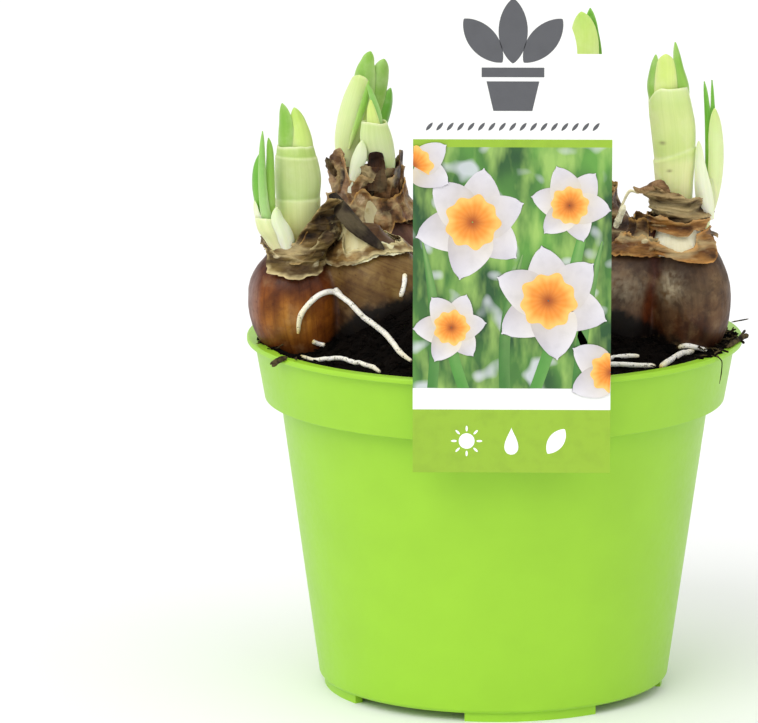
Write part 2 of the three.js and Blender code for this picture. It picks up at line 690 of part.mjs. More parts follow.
function soilHeight(x, y) {
  const heap = (middleX, middleY, rise, spreadX, spreadY) => {
    const off = ((x - middleX) / spreadX) ** 2 + ((y - middleY) / spreadY) ** 2;
    return rise * Math.exp(-(off ** 2));
  };
  const fromWall = clamp((RIM_INNER_RADIUS - Math.hypot(x, y)) / 12, 0, 1);
  const rise = heap(-7, -14, 15.5, 37, 44) + heap(33, -22, 4.5, 20, 20) + heap(2, 24, 4, 34, 24);
  const lumps = 0.5 * Math.sin(0.61 * x + 0.9) * Math.cos(0.53 * y) + 0.4 * Math.sin(0.37 * x - 0.83 * y);
  return SOIL_EDGE_HEIGHT + rise * fromWall ** 0.6 + lumps * fromWall;
}

function soilShape() {
  const ring = (radius, height) => {
    const points = [];
    for (let side = 0; side < SOIL_SIDES; side += 1) {
      const angle = ((side + 0.5) / SOIL_SIDES) * 2 * Math.PI;
      const [x, y] = [radius * Math.cos(angle), radius * Math.sin(angle)];
      points.push(new THREE.Vector3(x, y, height ?? soilHeight(x, y)));
    }
    return points;
  };
  const clear = GAP + 0.35;
  const inset = WALL + clear;
  const step = COLLAR_BOTTOM + WALL + clear;
  const top = RIM_INNER_RADIUS - clear;
  const surface = Array.from({ length: SOIL_RINGS }, (_, k) => ring(top * (1 - k / SOIL_RINGS)));
  return loft([
    ring(BASE_RADIUS - inset, FOOT_HEIGHT + WALL + clear),
    ring(SHOULDER_RADIUS - inset, COLLAR_BOTTOM),
    ring(SHOULDER_RADIUS - inset, step),
    ring(COLLAR_BOTTOM_RADIUS - inset, step),
    ...surface,
  ]);
}

function cardShapes() {
  const middle = (CARD_LEFT + CARD_RIGHT) / 2;
  const outline = new THREE.Shape();
  outline.moveTo(CARD_LEFT, CARD_BOTTOM);
  outline.lineTo(CARD_RIGHT, CARD_BOTTOM);
  outline.lineTo(CARD_RIGHT, CARD_SHOULDER);
  outline.absarc(middle, CARD_SHOULDER, CARD_HEAD_RADIUS, 0, Math.PI, false);
  outline.lineTo(CARD_LEFT, CARD_SHOULDER);
  outline.closePath();
  const flat = { bevelEnabled: false, curveSegments: 14 };
  const card = new THREE.ExtrudeGeometry(outline, { ...flat, depth: CARD_THICKNESS });
  card.rotateX(Math.PI / 2);
  card.translate(0, -RIM_RADIUS - GAP, 0);

  const back = -RIM_RADIUS - GAP - 0.2;
  const top = POT_HEIGHT + GAP + 0.1;
  const inner = -RIM_INNER_RADIUS + 1.1;
  const foot = inner + 3.5;
  const side = new THREE.Shape();
  side.moveTo(back, top);
  side.lineTo(inner, top);
  side.lineTo(foot, TONGUE_FOOT);
  side.lineTo(foot + TONGUE_THICKNESS, TONGUE_FOOT);
  side.lineTo(inner + TONGUE_THICKNESS, top + TONGUE_THICKNESS);
  side.lineTo(back, top + TONGUE_THICKNESS);
  side.closePath();
  const tongue = new THREE.ExtrudeGeometry(side, { ...flat, depth: TONGUE_WIDTH });
  tongue.applyMatrix4(new THREE.Matrix4().makeBasis(
    new THREE.Vector3(0, 1, 0),
    new THREE.Vector3(0, 0, 1),
    new THREE.Vector3(1, 0, 0),
  ));
  tongue.translate(middle - TONGUE_WIDTH / 2, 0, 0);
  return { card: outward(card), tongue: outward(tongue) };
}

// A dark dried scale that leans from the left bulb's torn rim down over its right shoulder
const DRY_SCALE = [blade([
  [-48.2, -15.5, 153.9, 1.3], [-45.4, -18, 151, 2.7], [-41.4, -21, 146.4, 2.8], [-37.6, -22.5, 142.7, 2.0],
  [-34, -24, 139.4, 0.4],
], { face: 24, thick: 1.2, cup: 0.25 })];

// Roots that lie on the bulbs and the soil. Points are x and height where the line of sight
// from the viewpoint to the root crosses the sighting plane.
const SIGHTED_ROOTS = {
  arched: { radius: 0.8, points: [
    [-57, 122.7], [-56.4, 127.7], [-53.5, 131.8], [-50.1, 134.3], [-45.5, 134.6], [-41.2, 131.2],
    [-36, 126.2], [-31.2, 121.5], [-27.1, 116.5], [-24, 113.9],
  ] },
  rim_left: { radius: 0.7, points: [
    [-56.1, 115.2], [-52.1, 113.8], [-48.1, 114.3], [-45, 114.6], [-40, 113.3], [-36, 112.2], [-33.2, 110.6],
  ] },
  short_left: { radius: 0.7, points: [[-53, 120.3], [-51, 119.4], [-49, 118.6]] },
  upright: { radius: 0.7, points: [[-26.3, 139.8], [-26.5, 136.8], [-27.4, 133.3]] },
  arched_right: { radius: 0.7, points: [[53.4, 118.9], [56, 119.5], [59.4, 118.7], [62.6, 116.8]] },
  slanted_right: { radius: 0.8, points: [[48.1, 112.1], [50.6, 113.9], [53, 115.6], [57.5, 118.1]] },
  low_right: { radius: 0.7, points: [[28, 112.4], [33.7, 113.1], [41.5, 112.8], [46.6, 112.6]] },
  high_right: { radius: 0.6, points: [[27, 114.4], [33.7, 115.1], [38, 115.7], [41.7, 115.8]] },
};

// Roots on the soil behind the bulbs. Points are x and y.
const BACK_ROOTS = {
  back_left: { radius: 0.75, points: [[-8, 20], [-4, 28], [-3, 38], [-6, 48], [-4, 57]] },
  back_right: { radius: 0.7, points: [[40, 44], [47, 38], [53, 29], [55, 18], [52, 10]] },
};

// A point on the outermost surface along a ray, lifted so that a root of this radius lies clear
function laidPoint(caster, ground, radius) {
  const [hit] = caster.intersectObjects(ground, false);
  return hit.point.clone().addScaledVector(hit.face.normal, radius + GAP + 0.1);
}

function rootShape(points, radius) {
  const section = new THREE.Shape();
  section.absarc(0, 0, radius, 0, 2 * Math.PI);
  const path = new THREE.CatmullRomCurve3(points, false, 'centripetal');
  return outward(new THREE.ExtrudeGeometry(section, {
    steps: points.length,
    curveSegments: 3,
    bevelEnabled: false,
    extrudePath: path,
  }));
}

// The solids, from what carries to what is carried; each is cut clear of its neighbours
const shapes = { pot: potShape(), soil: soilShape(), card: cardShapes() };
const solids = { pot: makePot() };
const cutters = { pot: cutter([shapes.pot]), soil: cutter([shapes.soil]) };

function clearOf(solid, names) {
  return names.reduce((left, name) => left.subtract(cutters[name]), solid);
}

let soil = solidOf(shapes.soil).subtract(cutter([shapes.card.tongue]));
for (const [name, lobes] of Object.entries(BULBS)) {
  const pieces = lobes.map(lobeShape);
  cutters[`bulb_${name}`] = cutter(pieces);
  solids[`bulb_${name}`] = largest(clearOf(joined(pieces), ['pot']));
  soil = soil.subtract(cutters[`bulb_${name}`]);
}
solids.soil = largest(soil);

for (const [name, pieces] of Object.entries(LEAVES)) {
  cutters[`leaves_${name}`] = cutter(pieces);
  solids[`leaves_${name}`] = largest(clearOf(joined(pieces), [`bulb_${name[0]}`]));
}

for (const [name, pieces] of Object.entries(SHEATHS)) {
  const inside = LEAVES[name] ? [`leaves_${name}`] : [];
  cutters[`sheath_${name}`] = cutter(pieces);
  solids[`sheath_${name}`] = largest(clearOf(joined(pieces), [`bulb_${name[0]}`, ...inside]));
}

cutters.dry_scale = cutter(DRY_SCALE);
solids.dry_scale = largest(joined(DRY_SCALE));

for (const [name, { collars, flaps }] of Object.entries(TUNICS)) {
  const pieces = [...collars.map((collar, lobe) => collarShape(BULBS[name][lobe], collar)), ...flaps];
  const neighbours = Object.keys(cutters).filter((other) => {
    const shoot = /^(sheath|leaves)_/.test(other) && other.split('_')[1][0] === name;
    return shoot || other === `bulb_${name}` || other === 'dry_scale';
  });
  solids[`tunic_${name}`] = largest(clearOf(joined(pieces), neighbours));
}

const ground = Object.keys(solids).filter((name) => /^(soil|bulb|tunic)/.test(name));
const groundMeshes = ground.map((name) => new THREE.Mesh(geometryOf(solids[name])));
const caster = new THREE.Raycaster();
const rootCutters = Object.keys(cutters).filter((name) => /^(pot|soil|bulb)/.test(name));

function makeRoot(name, points, radius) {
  const uncut = solidOf(rootShape(points, radius));
  solids[`root_${name}`] = largest(clearOf(uncut, rootCutters));
}

for (const [name, { radius, points }] of Object.entries(SIGHTED_ROOTS)) {
  const laid = points.map(([x, z]) => {
    caster.set(VIEWPOINT, new THREE.Vector3(x, SIGHT_PLANE, z).sub(VIEWPOINT).normalize());
    return laidPoint(caster, groundMeshes, radius);
  });
  makeRoot(name, laid, radius);
}
for (const [name, { radius, points }] of Object.entries(BACK_ROOTS)) {
  const laid = points.map(([x, y]) => {
    caster.set(new THREE.Vector3(x, y, 2 * POT_HEIGHT), new THREE.Vector3(0, 0, -1));
    return laidPoint(caster, groundMeshes, radius);
  });
  makeRoot(name, laid, radius);
}

solids.label_card = joined([shapes.card.card, shapes.card.tongue]);

function finishOf(name) {
  const kind = name.split('_')[0];
  if (kind === 'bulb') return name === 'bulb_a' ? 'amberBulb' : 'brownBulb';
  return { leaves: 'leaf', dry: 'dryScale', label: 'card' }[kind] ?? kind;
}

const group = new THREE.Group();
for (const [name, solid] of Object.entries(solids)) {
  const mesh = new THREE.Mesh(geometryOf(solid), material(finishOf(name)));
  mesh.name = name;
  group.add(mesh);
}

export default group;
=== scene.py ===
"""Potted narcissus bulbs coming into growth, with a label card hooked over the pot's rim.

Makers below work in millimetres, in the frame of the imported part: +Z up, the front is -Y,
and the origin is on the pot's axis at the ground. A mesh becomes metres as it is made.
"""
import math

import bmesh
import bpy
import numpy as np
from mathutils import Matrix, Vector, noise
from mathutils.bvhtree import BVHTree


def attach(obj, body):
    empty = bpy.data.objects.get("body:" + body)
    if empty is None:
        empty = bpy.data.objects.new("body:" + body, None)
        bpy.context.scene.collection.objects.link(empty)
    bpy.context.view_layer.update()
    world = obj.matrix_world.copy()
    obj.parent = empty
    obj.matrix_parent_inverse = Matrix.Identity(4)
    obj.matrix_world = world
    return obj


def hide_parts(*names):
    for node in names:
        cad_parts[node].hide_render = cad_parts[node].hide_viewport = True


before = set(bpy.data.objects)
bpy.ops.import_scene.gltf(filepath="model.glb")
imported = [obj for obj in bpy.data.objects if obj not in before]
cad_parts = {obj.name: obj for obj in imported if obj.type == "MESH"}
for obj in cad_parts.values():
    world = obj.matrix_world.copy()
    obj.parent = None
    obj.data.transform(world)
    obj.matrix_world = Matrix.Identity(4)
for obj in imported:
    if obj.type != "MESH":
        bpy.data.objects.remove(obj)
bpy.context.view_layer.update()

MM = 0.001
BLACK = "000000"
# Near-black of soil and painted shade on the bulbs
DIRT_AND_SHADE = "0b0705"
WHITE = (1, 1, 1)
PAPER_THICKNESS = 0.34
VOXEL = 0.75

# The pot's outline
POT_HEIGHT = 108
RIM_RADIUS = 75
RIM_INNER_RADIUS = 71.2
LIP_HEIGHT = 1.6
COLLAR_BOTTOM = 88.9
COLLAR_BOTTOM_RADIUS = 69.6
COLLAR_TOP_RADIUS = 72.7
SHOULDER_RADIUS = 64.9
BASE_RADIUS = 53.2
WALL = 1.25
FOOT_HEIGHT = 2.8
FEET = 4
FOOT_RADIUS = 50.3
FOOT_WIDTH = 2.6
FOOT_OVERLAP = 0.3
FOOT_START = -99.5
FOOT_SWEEP = 46.0
DRAIN_HOLES = 8
DRAIN_RADIUS = 1.8
DRAIN_CIRCLE = 36

SOIL_EDGE_HEIGHT = 106.2
SOIL_GAP = 0.3
BULB_FOOT = 94
FOOT_PLATE_RADIUS = 4

# Bulbs: each lobe's foot, its widest level with its radii, and the neck that it narrows to
BULBS = {
    "a": [
        {"foot": (-54, -13), "belly": (-60, -14, 120), "radii": (14.4, 14.2), "top": (-60.5, -14.5, 138.5),
         "neck": 7.4},
        {"foot": (-36.5, -14), "belly": (-33.7, -14, 121), "radii": (16.3, 13.8), "top": (-39.5, -12, 143.5),
         "neck": 6.2, "shoulder": 2},
    ],
    "b": [
        {"foot": (-37, 25), "belly": (-36, 26, 121), "radii": (18, 16.5), "top": (-40, 24, 150), "neck": 8.2},
        {"foot": (-21, 32), "belly": (-19, 35, 115), "radii": (12, 12), "top": (-27, 30, 139), "neck": 4},
    ],
    "c": [
        {"foot": (27, 29), "belly": (27, 31, 121), "radii": (17, 16), "top": (28.6, 30, 147), "neck": 6.8},
        {"foot": (12, 37), "belly": (8, 40, 115), "radii": (12, 12), "top": (15, 37, 140), "neck": 4.4},
    ],
    "d": [
        {"foot": (53.5, -11.5), "belly": (58.6, -13, 119.5), "radii": (12.5, 13.4), "top": (55.2, -12, 147),
         "neck": 5.6, "shoulder": 2.1},
        {"foot": (37, -13), "belly": (35.5, -13, 119), "radii": (12.8, 13.8), "top": (46, -12, 145),
         "neck": 4.6},
    ],
}

# The label card
CARD_LEFT = -23.7
CARD_RIGHT = 33.7
CARD_BOTTOM = 81.5
CARD_SHOULDER = 204.5
CARD_HEAD_RADIUS = 18.4
CARD_FRONT = -76.0
CARD_THICKNESS = 0.7
BAND_TOP = 100.2
TONGUE_WIDTH = 14
TONGUE_FOOT = 92.5
CARD_MIDDLE = (CARD_LEFT + CARD_RIGHT) / 2

# Its printing: how far the plate and the lowest printed layer lie behind the card's front, each
# layer's rise, and the heights of what is printed
PLATE_INSET = 0.12
PRINT_BASE = 0.1
PRINT_STEP = 0.02
PICTURE_BOTTOM = 106.5
PICTURE_TOP = 177.4
STRIPE_TOP = 179.7
BORDER_HEIGHT = 183.4
CARE_SPACING = 13
PRINT_GREEN = "93b92c"
PRINT_GREY = "56575b"
PRINT_ROUGHNESS = 0.28

# The photograph's size, its camera and the plane that roots are sighted on
PHOTO_WIDTH = 758
FOCAL_PIXELS = 5929
SENSOR_WIDTH = 36
VIEWPOINT = Vector((0, -1762.37, 453.95))
CAMERA_YAW = -0.01986
CAMERA_PITCH = 0.19868
SIGHT_PLANE = -75


def make_camera():
    data = bpy.data.cameras.new("camera")
    data.sensor_width = SENSOR_WIDTH
    data.lens = FOCAL_PIXELS * SENSOR_WIDTH / PHOTO_WIDTH
    data.clip_end = 20
    camera = linked(bpy.data.objects.new("camera", data))
    camera.location = VIEWPOINT * MM
    camera.rotation_euler = (math.pi / 2 - CAMERA_PITCH, 0, -CAMERA_YAW)
    bpy.context.scene.camera = camera


def channel(value):
    """A screen colour's channel made linear."""
    return value / 12.92 if value <= 0.04045 else ((value + 0.055) / 1.055) ** 2.4


def colour(code):
    """Linear red, green and blue of a screen colour such as a8de3a."""
    return tuple(channel(int(code[i:i + 2], 16) / 255) for i in (0, 2, 4))


def catmull_rom(a, b, c, d, t):
    """A smooth curve's point at t, from 0 at its row b to 1 at its row c."""
    cubic = -a + 3 * b - 3 * c + d
    square = 2 * a - 5 * b + 4 * c - d
    return 0.5 * (2 * b + (c - a) * t + square * t * t + cubic * t ** 3)


def smooth_rows(stations, steps):
    """Rows of numbers read smoothly between given stations."""
    table = np.array(stations, float)
    end = len(table) - 1
    rows = []
    for place in np.linspace(0, end, steps + 1):
        index = min(int(place), end - 1)
        near = [table[min(max(index + k, 0), end)] for k in (-1, 0, 1, 2)]
        rows.append(catmull_rom(*near, place - index))
    return np.array(rows)


def lumps(points, size, seed=0.0, octaves=3):
    """Smooth noise from -1 to 1 at each point of a grid, with lumps of about this size."""
    shift = Vector((seed, 2.3 * seed, 5.1 * seed))
    flat = np.reshape(points, (-1, 3))
    total = np.zeros(len(flat))
    for octave in range(octaves):
        scale = 2 ** octave / size
        values = [noise.noise(Vector(point) * scale + shift) for point in flat]
        total += np.array(values) / 2 ** octave
    return total.reshape(np.shape(points)[:-1])


def around_axis(sides):
    """Angles of evenly spaced points round an axis, in radians."""
    return np.arange(sides) * 2 * math.pi / sides


def grid_of(*parts):
    """Puts numbers and arrays of any matching shapes together as the last axis of one grid."""
    return np.stack(np.broadcast_arrays(*parts), axis=-1)


def unit(vectors):
    """The vectors of a grid, each made one long."""
    return vectors / np.linalg.norm(vectors, axis=-1)[..., None]


def angle_from(degrees, middle):
    """How far angles lie from a middle one, from -180 to 180 degrees."""
    return (np.asarray(degrees) - middle + 180) % 360 - 180


def blend(low, high, share):
    """A mix of two colours, or of two arrays of them, at each share from 0 to 1."""
    share = np.clip(np.asarray(share, float), 0, 1)[..., None]
    return np.asarray(low) * (1 - share) + np.asarray(high) * share


def painted(tint, *layers):
    """Colours laid over a tint. Each layer: its colour code, and its share from 0 to 1."""
    for code, share in layers:
        tint = blend(tint, colour(code), share)
    return tint


def shaded(stops, places):
    """Colours read off a list of (place, colour code) at each place."""
    at = [place for place, _ in stops]
    codes = np.array([colour(code) for _, code in stops])
    return np.stack([np.interp(places, at, codes[:, k]) for k in range(3)], axis=-1)


class Shape:
    """Points and faces of one mesh, with what its finish reads at each point: the place across
    and along the grain in millimetres, and the colour."""

    def __init__(self):
        self.points = []
        self.grain = []
        self.tint = []
        self.faces = []
        self.count = 0

    def add_points(self, points, grain, tint):
        """Takes points of any grid shape and gives back their numbers in that grid."""
        grid = np.asarray(points, float)
        flat = grid.reshape(-1, 3)
        self.points.append(flat)
        self.grain.append(np.broadcast_to(grain, grid.shape).reshape(-1, 3))
        self.tint.append(np.broadcast_to(tint, grid.shape).reshape(-1, 3))
        first = self.count
        self.count += len(flat)
        return (first + np.arange(len(flat))).reshape(grid.shape[:-1])

    def add_quads(self, a, b, c, d):
        self.faces += np.stack([a, b, c, d], axis=-1).reshape(-1, 4).tolist()

    def add_fan(self, ring, grain, tint):
        """Closes a ring with a point in its middle."""
        corners = np.concatenate(self.points)[ring]
        middle = self.add_points([corners.mean(axis=0)], grain, tint)[0]
        for this, following in zip(ring.tolist(), np.roll(ring, -1).tolist()):
            self.faces.append([this, following, int(middle)])

    def add_rings(self, rings, grain=(0, 0, 0), tint=WHITE):
        """A stack of rings, closed at both ends."""
        index = self.add_points(rings, grain, tint)
        right = np.roll(index, -1, axis=1)
        self.add_quads(index[:-1], right[:-1], right[1:], index[1:])
        grain = np.broadcast_to(grain, np.shape(rings))
        tint = np.broadcast_to(tint, np.shape(rings))
        for end in (0, -1):
            self.add_fan(index[end], grain[end, 0], tint[end, 0])

    def add_sheet(self, outer, inner, grain, tint, wrap):
        """A thin sheet between two grids of points, closed along its edges."""
        front = self.add_points(outer, grain, tint)
        back = self.add_points(inner, grain, tint)
        if wrap:
            front = np.concatenate([front, front[:, :1]], axis=1)
            back = np.concatenate([back, back[:, :1]], axis=1)
        for side in (front, back):
            self.add_quads(side[:-1, :-1], side[:-1, 1:], side[1:, 1:], side[1:, :-1])
        for row in (0, -1):
            self.add_quads(front[row, :-1], front[row, 1:], back[row, 1:], back[row, :-1])
        if not wrap:
            for column in (0, -1):
                edge, rear = front[:, column], back[:, column]
                self.add_quads(edge[:-1], edge[1:], rear[1:], rear[:-1])

    def made(self, name, finish, sharp=60):
        """The mesh object, in metres, with its faces turned outwards."""
        mesh = bpy.data.meshes.new(name)
        points = np.concatenate(self.points)
        mesh.from_pydata((points * MM).tolist(), [], self.faces)
        solid = bmesh.new()
        solid.from_mesh(mesh)
        bmesh.ops.recalc_face_normals(solid, faces=solid.faces)
        solid.to_mesh(mesh)
        solid.free()
        mesh.shade_smooth()
        mesh.set_sharp_from_angle(angle=math.radians(sharp))
        write_attributes(mesh, np.concatenate(self.grain), np.concatenate(self.tint))
        mesh.materials.append(finish)
        return linked(bpy.data.objects.new(name, mesh))


def write_attributes(mesh, grain, tint):
    for name, values in (("grain", grain), ("tint", tint)):
        layer = mesh.attributes.new(name, "FLOAT_VECTOR", "POINT")
        layer.data.foreach_set("vector", np.ascontiguousarray(values, float).ravel())


def mark_open(obj, values):
    """Writes where bits may be strewn on a surface: 1 where they may, 0 elsewhere."""
    layer = obj.data.attributes.new("open", "FLOAT", "POINT")
    layer.data.foreach_set("value", values)


def linked(obj):
    """Puts a new object into the scene."""
    bpy.context.scene.collection.objects.link(obj)
    return obj


def points_of(obj):
    """A mesh object's points in millimetres."""
    flat = np.empty(3 * len(obj.data.vertices))
    obj.data.vertices.foreach_get("co", flat)
    return flat.reshape(-1, 3) / MM


def baked(obj):
    """Turns an object's modifiers into its plain mesh."""
    graph = bpy.context.evaluated_depsgraph_get()
    mesh = bpy.data.meshes.new_from_object(obj.evaluated_get(graph))
    mesh.name = obj.name
    obj.modifiers.clear()
    obj.data = mesh
    return obj


def place(obj, slot, *nodes):
    """Puts a finished piece on the frame under the root body, and hides the nodes it stands for. The slot is
    not used.
    """
    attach(obj, "root")
    if nodes:
        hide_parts(*nodes)
    return obj


class Nodes:
    """A tree of nodes put together by kind. Sockets are given by name or number."""

    def __init__(self, tree):
        self.tree = tree

    def connect(self, socket, value):
        """Feeds a socket from another one, or sets it to a constant."""
        if isinstance(value, bpy.types.NodeSocket):
            self.tree.links.new(value, socket)
        else:
            socket.default_value = value

    def wire(self, kind, settings, pairs, output=0):
        """A node with its settings and what feeds it. Gives back one of its outputs."""
        node = self.tree.nodes.new(kind)
        for key, value in settings.items():
            setattr(node, key, value)
        for socket, value in pairs:
            self.connect(node.inputs[socket], value)
        return node.outputs[output]

    def add(self, kind, output=0, **inputs):
        return self.wire(kind, {}, [(key.replace("_", " "), value) for key, value in inputs.items()], output)

    def between(self, value, low, high, start=0.0, end=1.0):
        """Turns low to high into start to end, and holds the ends."""
        return self.add("ShaderNodeMapRange", Value=value, From_Min=low, From_Max=high, To_Min=start,
                        To_Max=end)

    def vector_math(self, operation, pairs, output=0):
        return self.wire("ShaderNodeVectorMath", {"operation": operation}, pairs, output)


class Finish(Nodes):
    """A procedural material."""

    def __init__(self, name, **fixed):
        self.material = bpy.data.materials.new(name)
        self.material.use_nodes = True
        super().__init__(self.material.node_tree)
        self.done(**fixed)

    def done(self, **inputs):
        """Feeds the surface, and gives back the material."""
        surface = self.tree.nodes["Principled BSDF"]
        for key, value in inputs.items():
            self.connect(surface.inputs[key.replace("_", " ")], value)
        return self.material

    def read(self, attribute):
        return self.wire("ShaderNodeAttribute", {"attribute_name": attribute}, (), "Vector")

    def place(self):
        """Object coordinates, in metres."""
        return self.add("ShaderNodeTexCoord", "Object")

    def stretched(self, vector, scale):
        return self.add("ShaderNodeMapping", Vector=vector, Scale=scale)

    def noise(self, vector, scale, detail=4, roughness=0.55):
        return self.add("ShaderNodeTexNoise", Vector=vector, Scale=scale, Detail=detail, Roughness=roughness)

    def spots(self, vector, scale):
        return self.add("ShaderNodeTexVoronoi", Vector=vector, Scale=scale)

    def bent(self, vector, scale, reach):
        """Coordinates pushed about by noise, this far in their own unit."""
        push = self.add("ShaderNodeTexNoise", "Color", Vector=vector, Scale=scale, Detail=3)
        return self.mix(reach, vector, push, "LINEAR_LIGHT")

    def mix(self, share, a, b, kind="MIX"):
        settings = {"data_type": "RGBA", "blend_type": kind}
        return self.wire("ShaderNodeMix", settings, [(0, share), (6, a), (7, b)], 2)

    def layered(self, tone, *layers):
        """Colours laid one over another. Each layer: what it follows, the two numbers it runs
        between, its share at each of them, its colour code, and how it is mixed in."""
        for follows, low, high, start, end, code, *kind in layers:
            tone = self.mix(self.between(follows, low, high, start, end), tone, opaque(code), *kind)
        return tone

    def bumped(self, *layers):
        """Relief: layers of height, each with its depth in millimetres, the lowest first."""
        below = {}
        for height, depth in layers:
            normal = self.add("ShaderNodeBump", Height=height, Distance=depth * MM, Strength=1.0, **below)
            below = {"Normal": normal}
        return normal


def opaque(code):
    return (*colour(code), 1)


def plastic_finish(name, code, roughness):
    """Moulded or printed plastic with a faint uneven sheen."""
    made = Finish(name, Specular_IOR_Level=0.4)
    spread = made.noise(made.place(), 60)
    tone = made.layered(opaque(code), (spread, 0.3, 0.7, 0, 0.06, BLACK))
    gloss = made.between(made.noise(made.place(), 500), 0.3, 0.7, roughness - 0.04, roughness + 0.05)
    relief = made.bumped((made.noise(made.place(), 900), 0.03))
    return made.done(Base_Color=tone, Roughness=gloss, Normal=relief)


def soil_finish():
    """Compost: nearly black, with brown lumps and paler flecks."""
    made = Finish("compost", Specular_IOR_Level=0.06)
    coarse = made.noise(made.place(), 260, 8, 0.7)
    fine = made.noise(made.place(), 1300, 6, 0.7)
    tone = made.layered(opaque("040302"), (coarse, 0.38, 0.66, 0, 1, "120c08"),
                        (fine, 0.64, 0.76, 0, 0.3, "3d2c1f"))
    relief = made.bumped((coarse, 1.2), (fine, 0.5))
    return made.done(Base_Color=tone, Roughness=0.95, Normal=relief)


def fibre_finish():
    """Dead roots and moss that hold the compost together."""
    made = Finish("moss_fibre", Specular_IOR_Level=0.1, Roughness=0.9)
    spread = made.noise(made.place(), 300, 2)
    return made.done(Base_Color=made.layered(opaque("17110b"), (spread, 0.4, 0.6, 0, 1, "55492f")))


def bulb_finish(name, stripe, gloss, streaked):
    """A bulb's outer scale: broad soft streaks and fine veins from foot to neck, blotches, a few
    dark dots, and a dull shine in patches."""
    made = Finish(name, Specular_IOR_Level=0.2, Coat_Roughness=0.25)
    grain = made.read("grain")
    streaks = made.noise(made.stretched(grain, (0.2, 0.018, 1)), 1, 3, 0.5)
    veins = made.noise(made.stretched(grain, (1.1, 0.022, 1)), 1, 3, 0.5)
    blotches = made.noise(made.place(), 110, 5, 0.6)
    mottled = made.noise(made.bent(made.place(), 90, 0.006), 320, 4, 0.65)
    dots = made.spots(made.stretched(grain, (0.3, 0.2, 1)), 1)
    tone = made.layered(
        made.read("tint"), (streaks, 0.42, 0.68, 0, streaked, stripe, "MULTIPLY"),
        (veins, 0.5, 0.64, 0, 0.45 * streaked, stripe, "MULTIPLY"),
        (blotches, 0.46, 0.7, 0, 0.6, stripe, "MULTIPLY"), (blotches, 0.3, 0.44, 0.2, 0, "c0a070"),
        (mottled, 0.35, 0.5, 0.35, 0, stripe, "MULTIPLY"),
        (mottled, 0.55, 0.75, 0, 0.3, "b89a70", "SOFT_LIGHT"), (dots, 0.03, 0.09, 0.6, 0, "201008"))
    relief = made.bumped((blotches, 0.5), (mottled, 0.12), (veins, 0.04))
    clean = made.between(made.read("tint"), 0.004, 0.03, 0, gloss)
    shine = made.between(blotches, 0.35, 0.65, clean, 0.1 * gloss)
    return made.done(Base_Color=tone, Roughness=0.55, Coat_Weight=shine, Normal=relief)


def paper_finish(name, dark, stretch, fibre=(0.35, 1.5, 1), gloss=0.15, pale=1.0):
    """Dry skin, creased like paper: painted highlights on sharp pale ridges, painted shade in brown
    hollows, faint streaks along the grain and translucent pale places. The stretch says which way the creases
    run."""
    made = Finish(name, Specular_IOR_Level=0.15, Coat_Roughness=0.2)
    grain = made.read("grain")
    fibres = made.noise(made.stretched(grain, fibre), 1, 4, 0.55)
    across = made.stretched(made.place(), stretch)
    creased = made.spots(made.bent(across, 140, 0.004), 170)
    finer = made.spots(made.bent(across, 260, 0.003), 420)
    folds = made.noise(across, 210, 4, 0.55)
    blotches = made.noise(made.stretched(made.place(), (1, 1, 1.6)), 150, 4, 0.6)
    tone = made.layered(
        made.read("tint"), (fibres, 0.45, 0.68, 0, dark, "7a5f3c", "MULTIPLY"),
        (folds, 0.5, 0.66, 0, 0.75, "80603a", "MULTIPLY"),
        # Painted shade in the hollows of the creases, and painted highlights on their ridges.
        (creased, 0.12, 0.42, 0.8, 0, "5f4224", "MULTIPLY"),
        (creased, 0.52, 0.76, 0, 0.45 * pale, "dcc894"), (blotches, 0.3, 0.42, 0.4 * pale, 0, "cfba86"))
    relief = made.bumped((folds, 1.0), (creased, 1.5), (finer, 0.35), (fibres, 0.15))
    shine = made.between(blotches, 0.4, 0.6, gloss, 0.1 * gloss)
    return made.done(Base_Color=tone, Roughness=0.6, Coat_Weight=shine, Normal=relief)


def flesh_finish():
    """A fresh inner scale laid bare by a tear: waxy cream with faint lines and a few brown spots."""
    made = Finish("fresh_scale", Subsurface_Weight=0.2, Subsurface_Scale=0.001,
                  Subsurface_Radius=(1.0, 0.9, 0.5), Specular_IOR_Level=0.4)
    lines = made.noise(made.stretched(made.read("grain"), (1.2, 0.05, 1)), 1, 3, 0.5)
    blotches = made.noise(made.place(), 240, 3, 0.6)
    tone = made.layered(made.read("tint"), (lines, 0.45, 0.7, 0, 0.18, "d9cf98", "MULTIPLY"),
                        (blotches, 0.6, 0.72, 0, 0.5, "c4aa6c", "MULTIPLY"))
    return made.done(Base_Color=tone, Roughness=0.42, Normal=made.bumped((blotches, 0.3)))


def living_finish(name, lines, glow, roughness):
    """Leaf or sheath: smooth skin with faint fine lines along it, and light that comes through."""
    made = Finish(name, Subsurface_Weight=glow, Subsurface_Scale=0.0015, Subsurface_Radius=(0.7, 1.0, 0.3),
                  Specular_IOR_Level=0.35)
    grain = made.read("grain")
    fine = made.noise(made.stretched(grain, (lines, 0.012, 1)), 1, 2, 0.5)
    broad = made.noise(made.stretched(grain, (0.45, 0.03, 1)), 1, 3, 0.5)
    clouds = made.noise(made.place(), 120, 4, 0.6)
    specks = made.spots(made.stretched(grain, (0.16, 0.11, 1)), 1)
    tone = made.layered(
        made.read("tint"), (fine, 0.4, 0.65, 0, 0.08, "a9c578", "MULTIPLY"),
        (broad, 0.45, 0.7, 0, 0.2, "c3d98a", "MULTIPLY"), (clouds, 0.5, 0.78, 0, 0.22, "f2f5cf"),
        (specks, 0.012, 0.035, 0.5, 0, "8a7442"))
    relief = made.bumped((clouds, 0.2), (fine, 0.025))
    return made.done(Base_Color=tone, Roughness=roughness, Normal=relief)


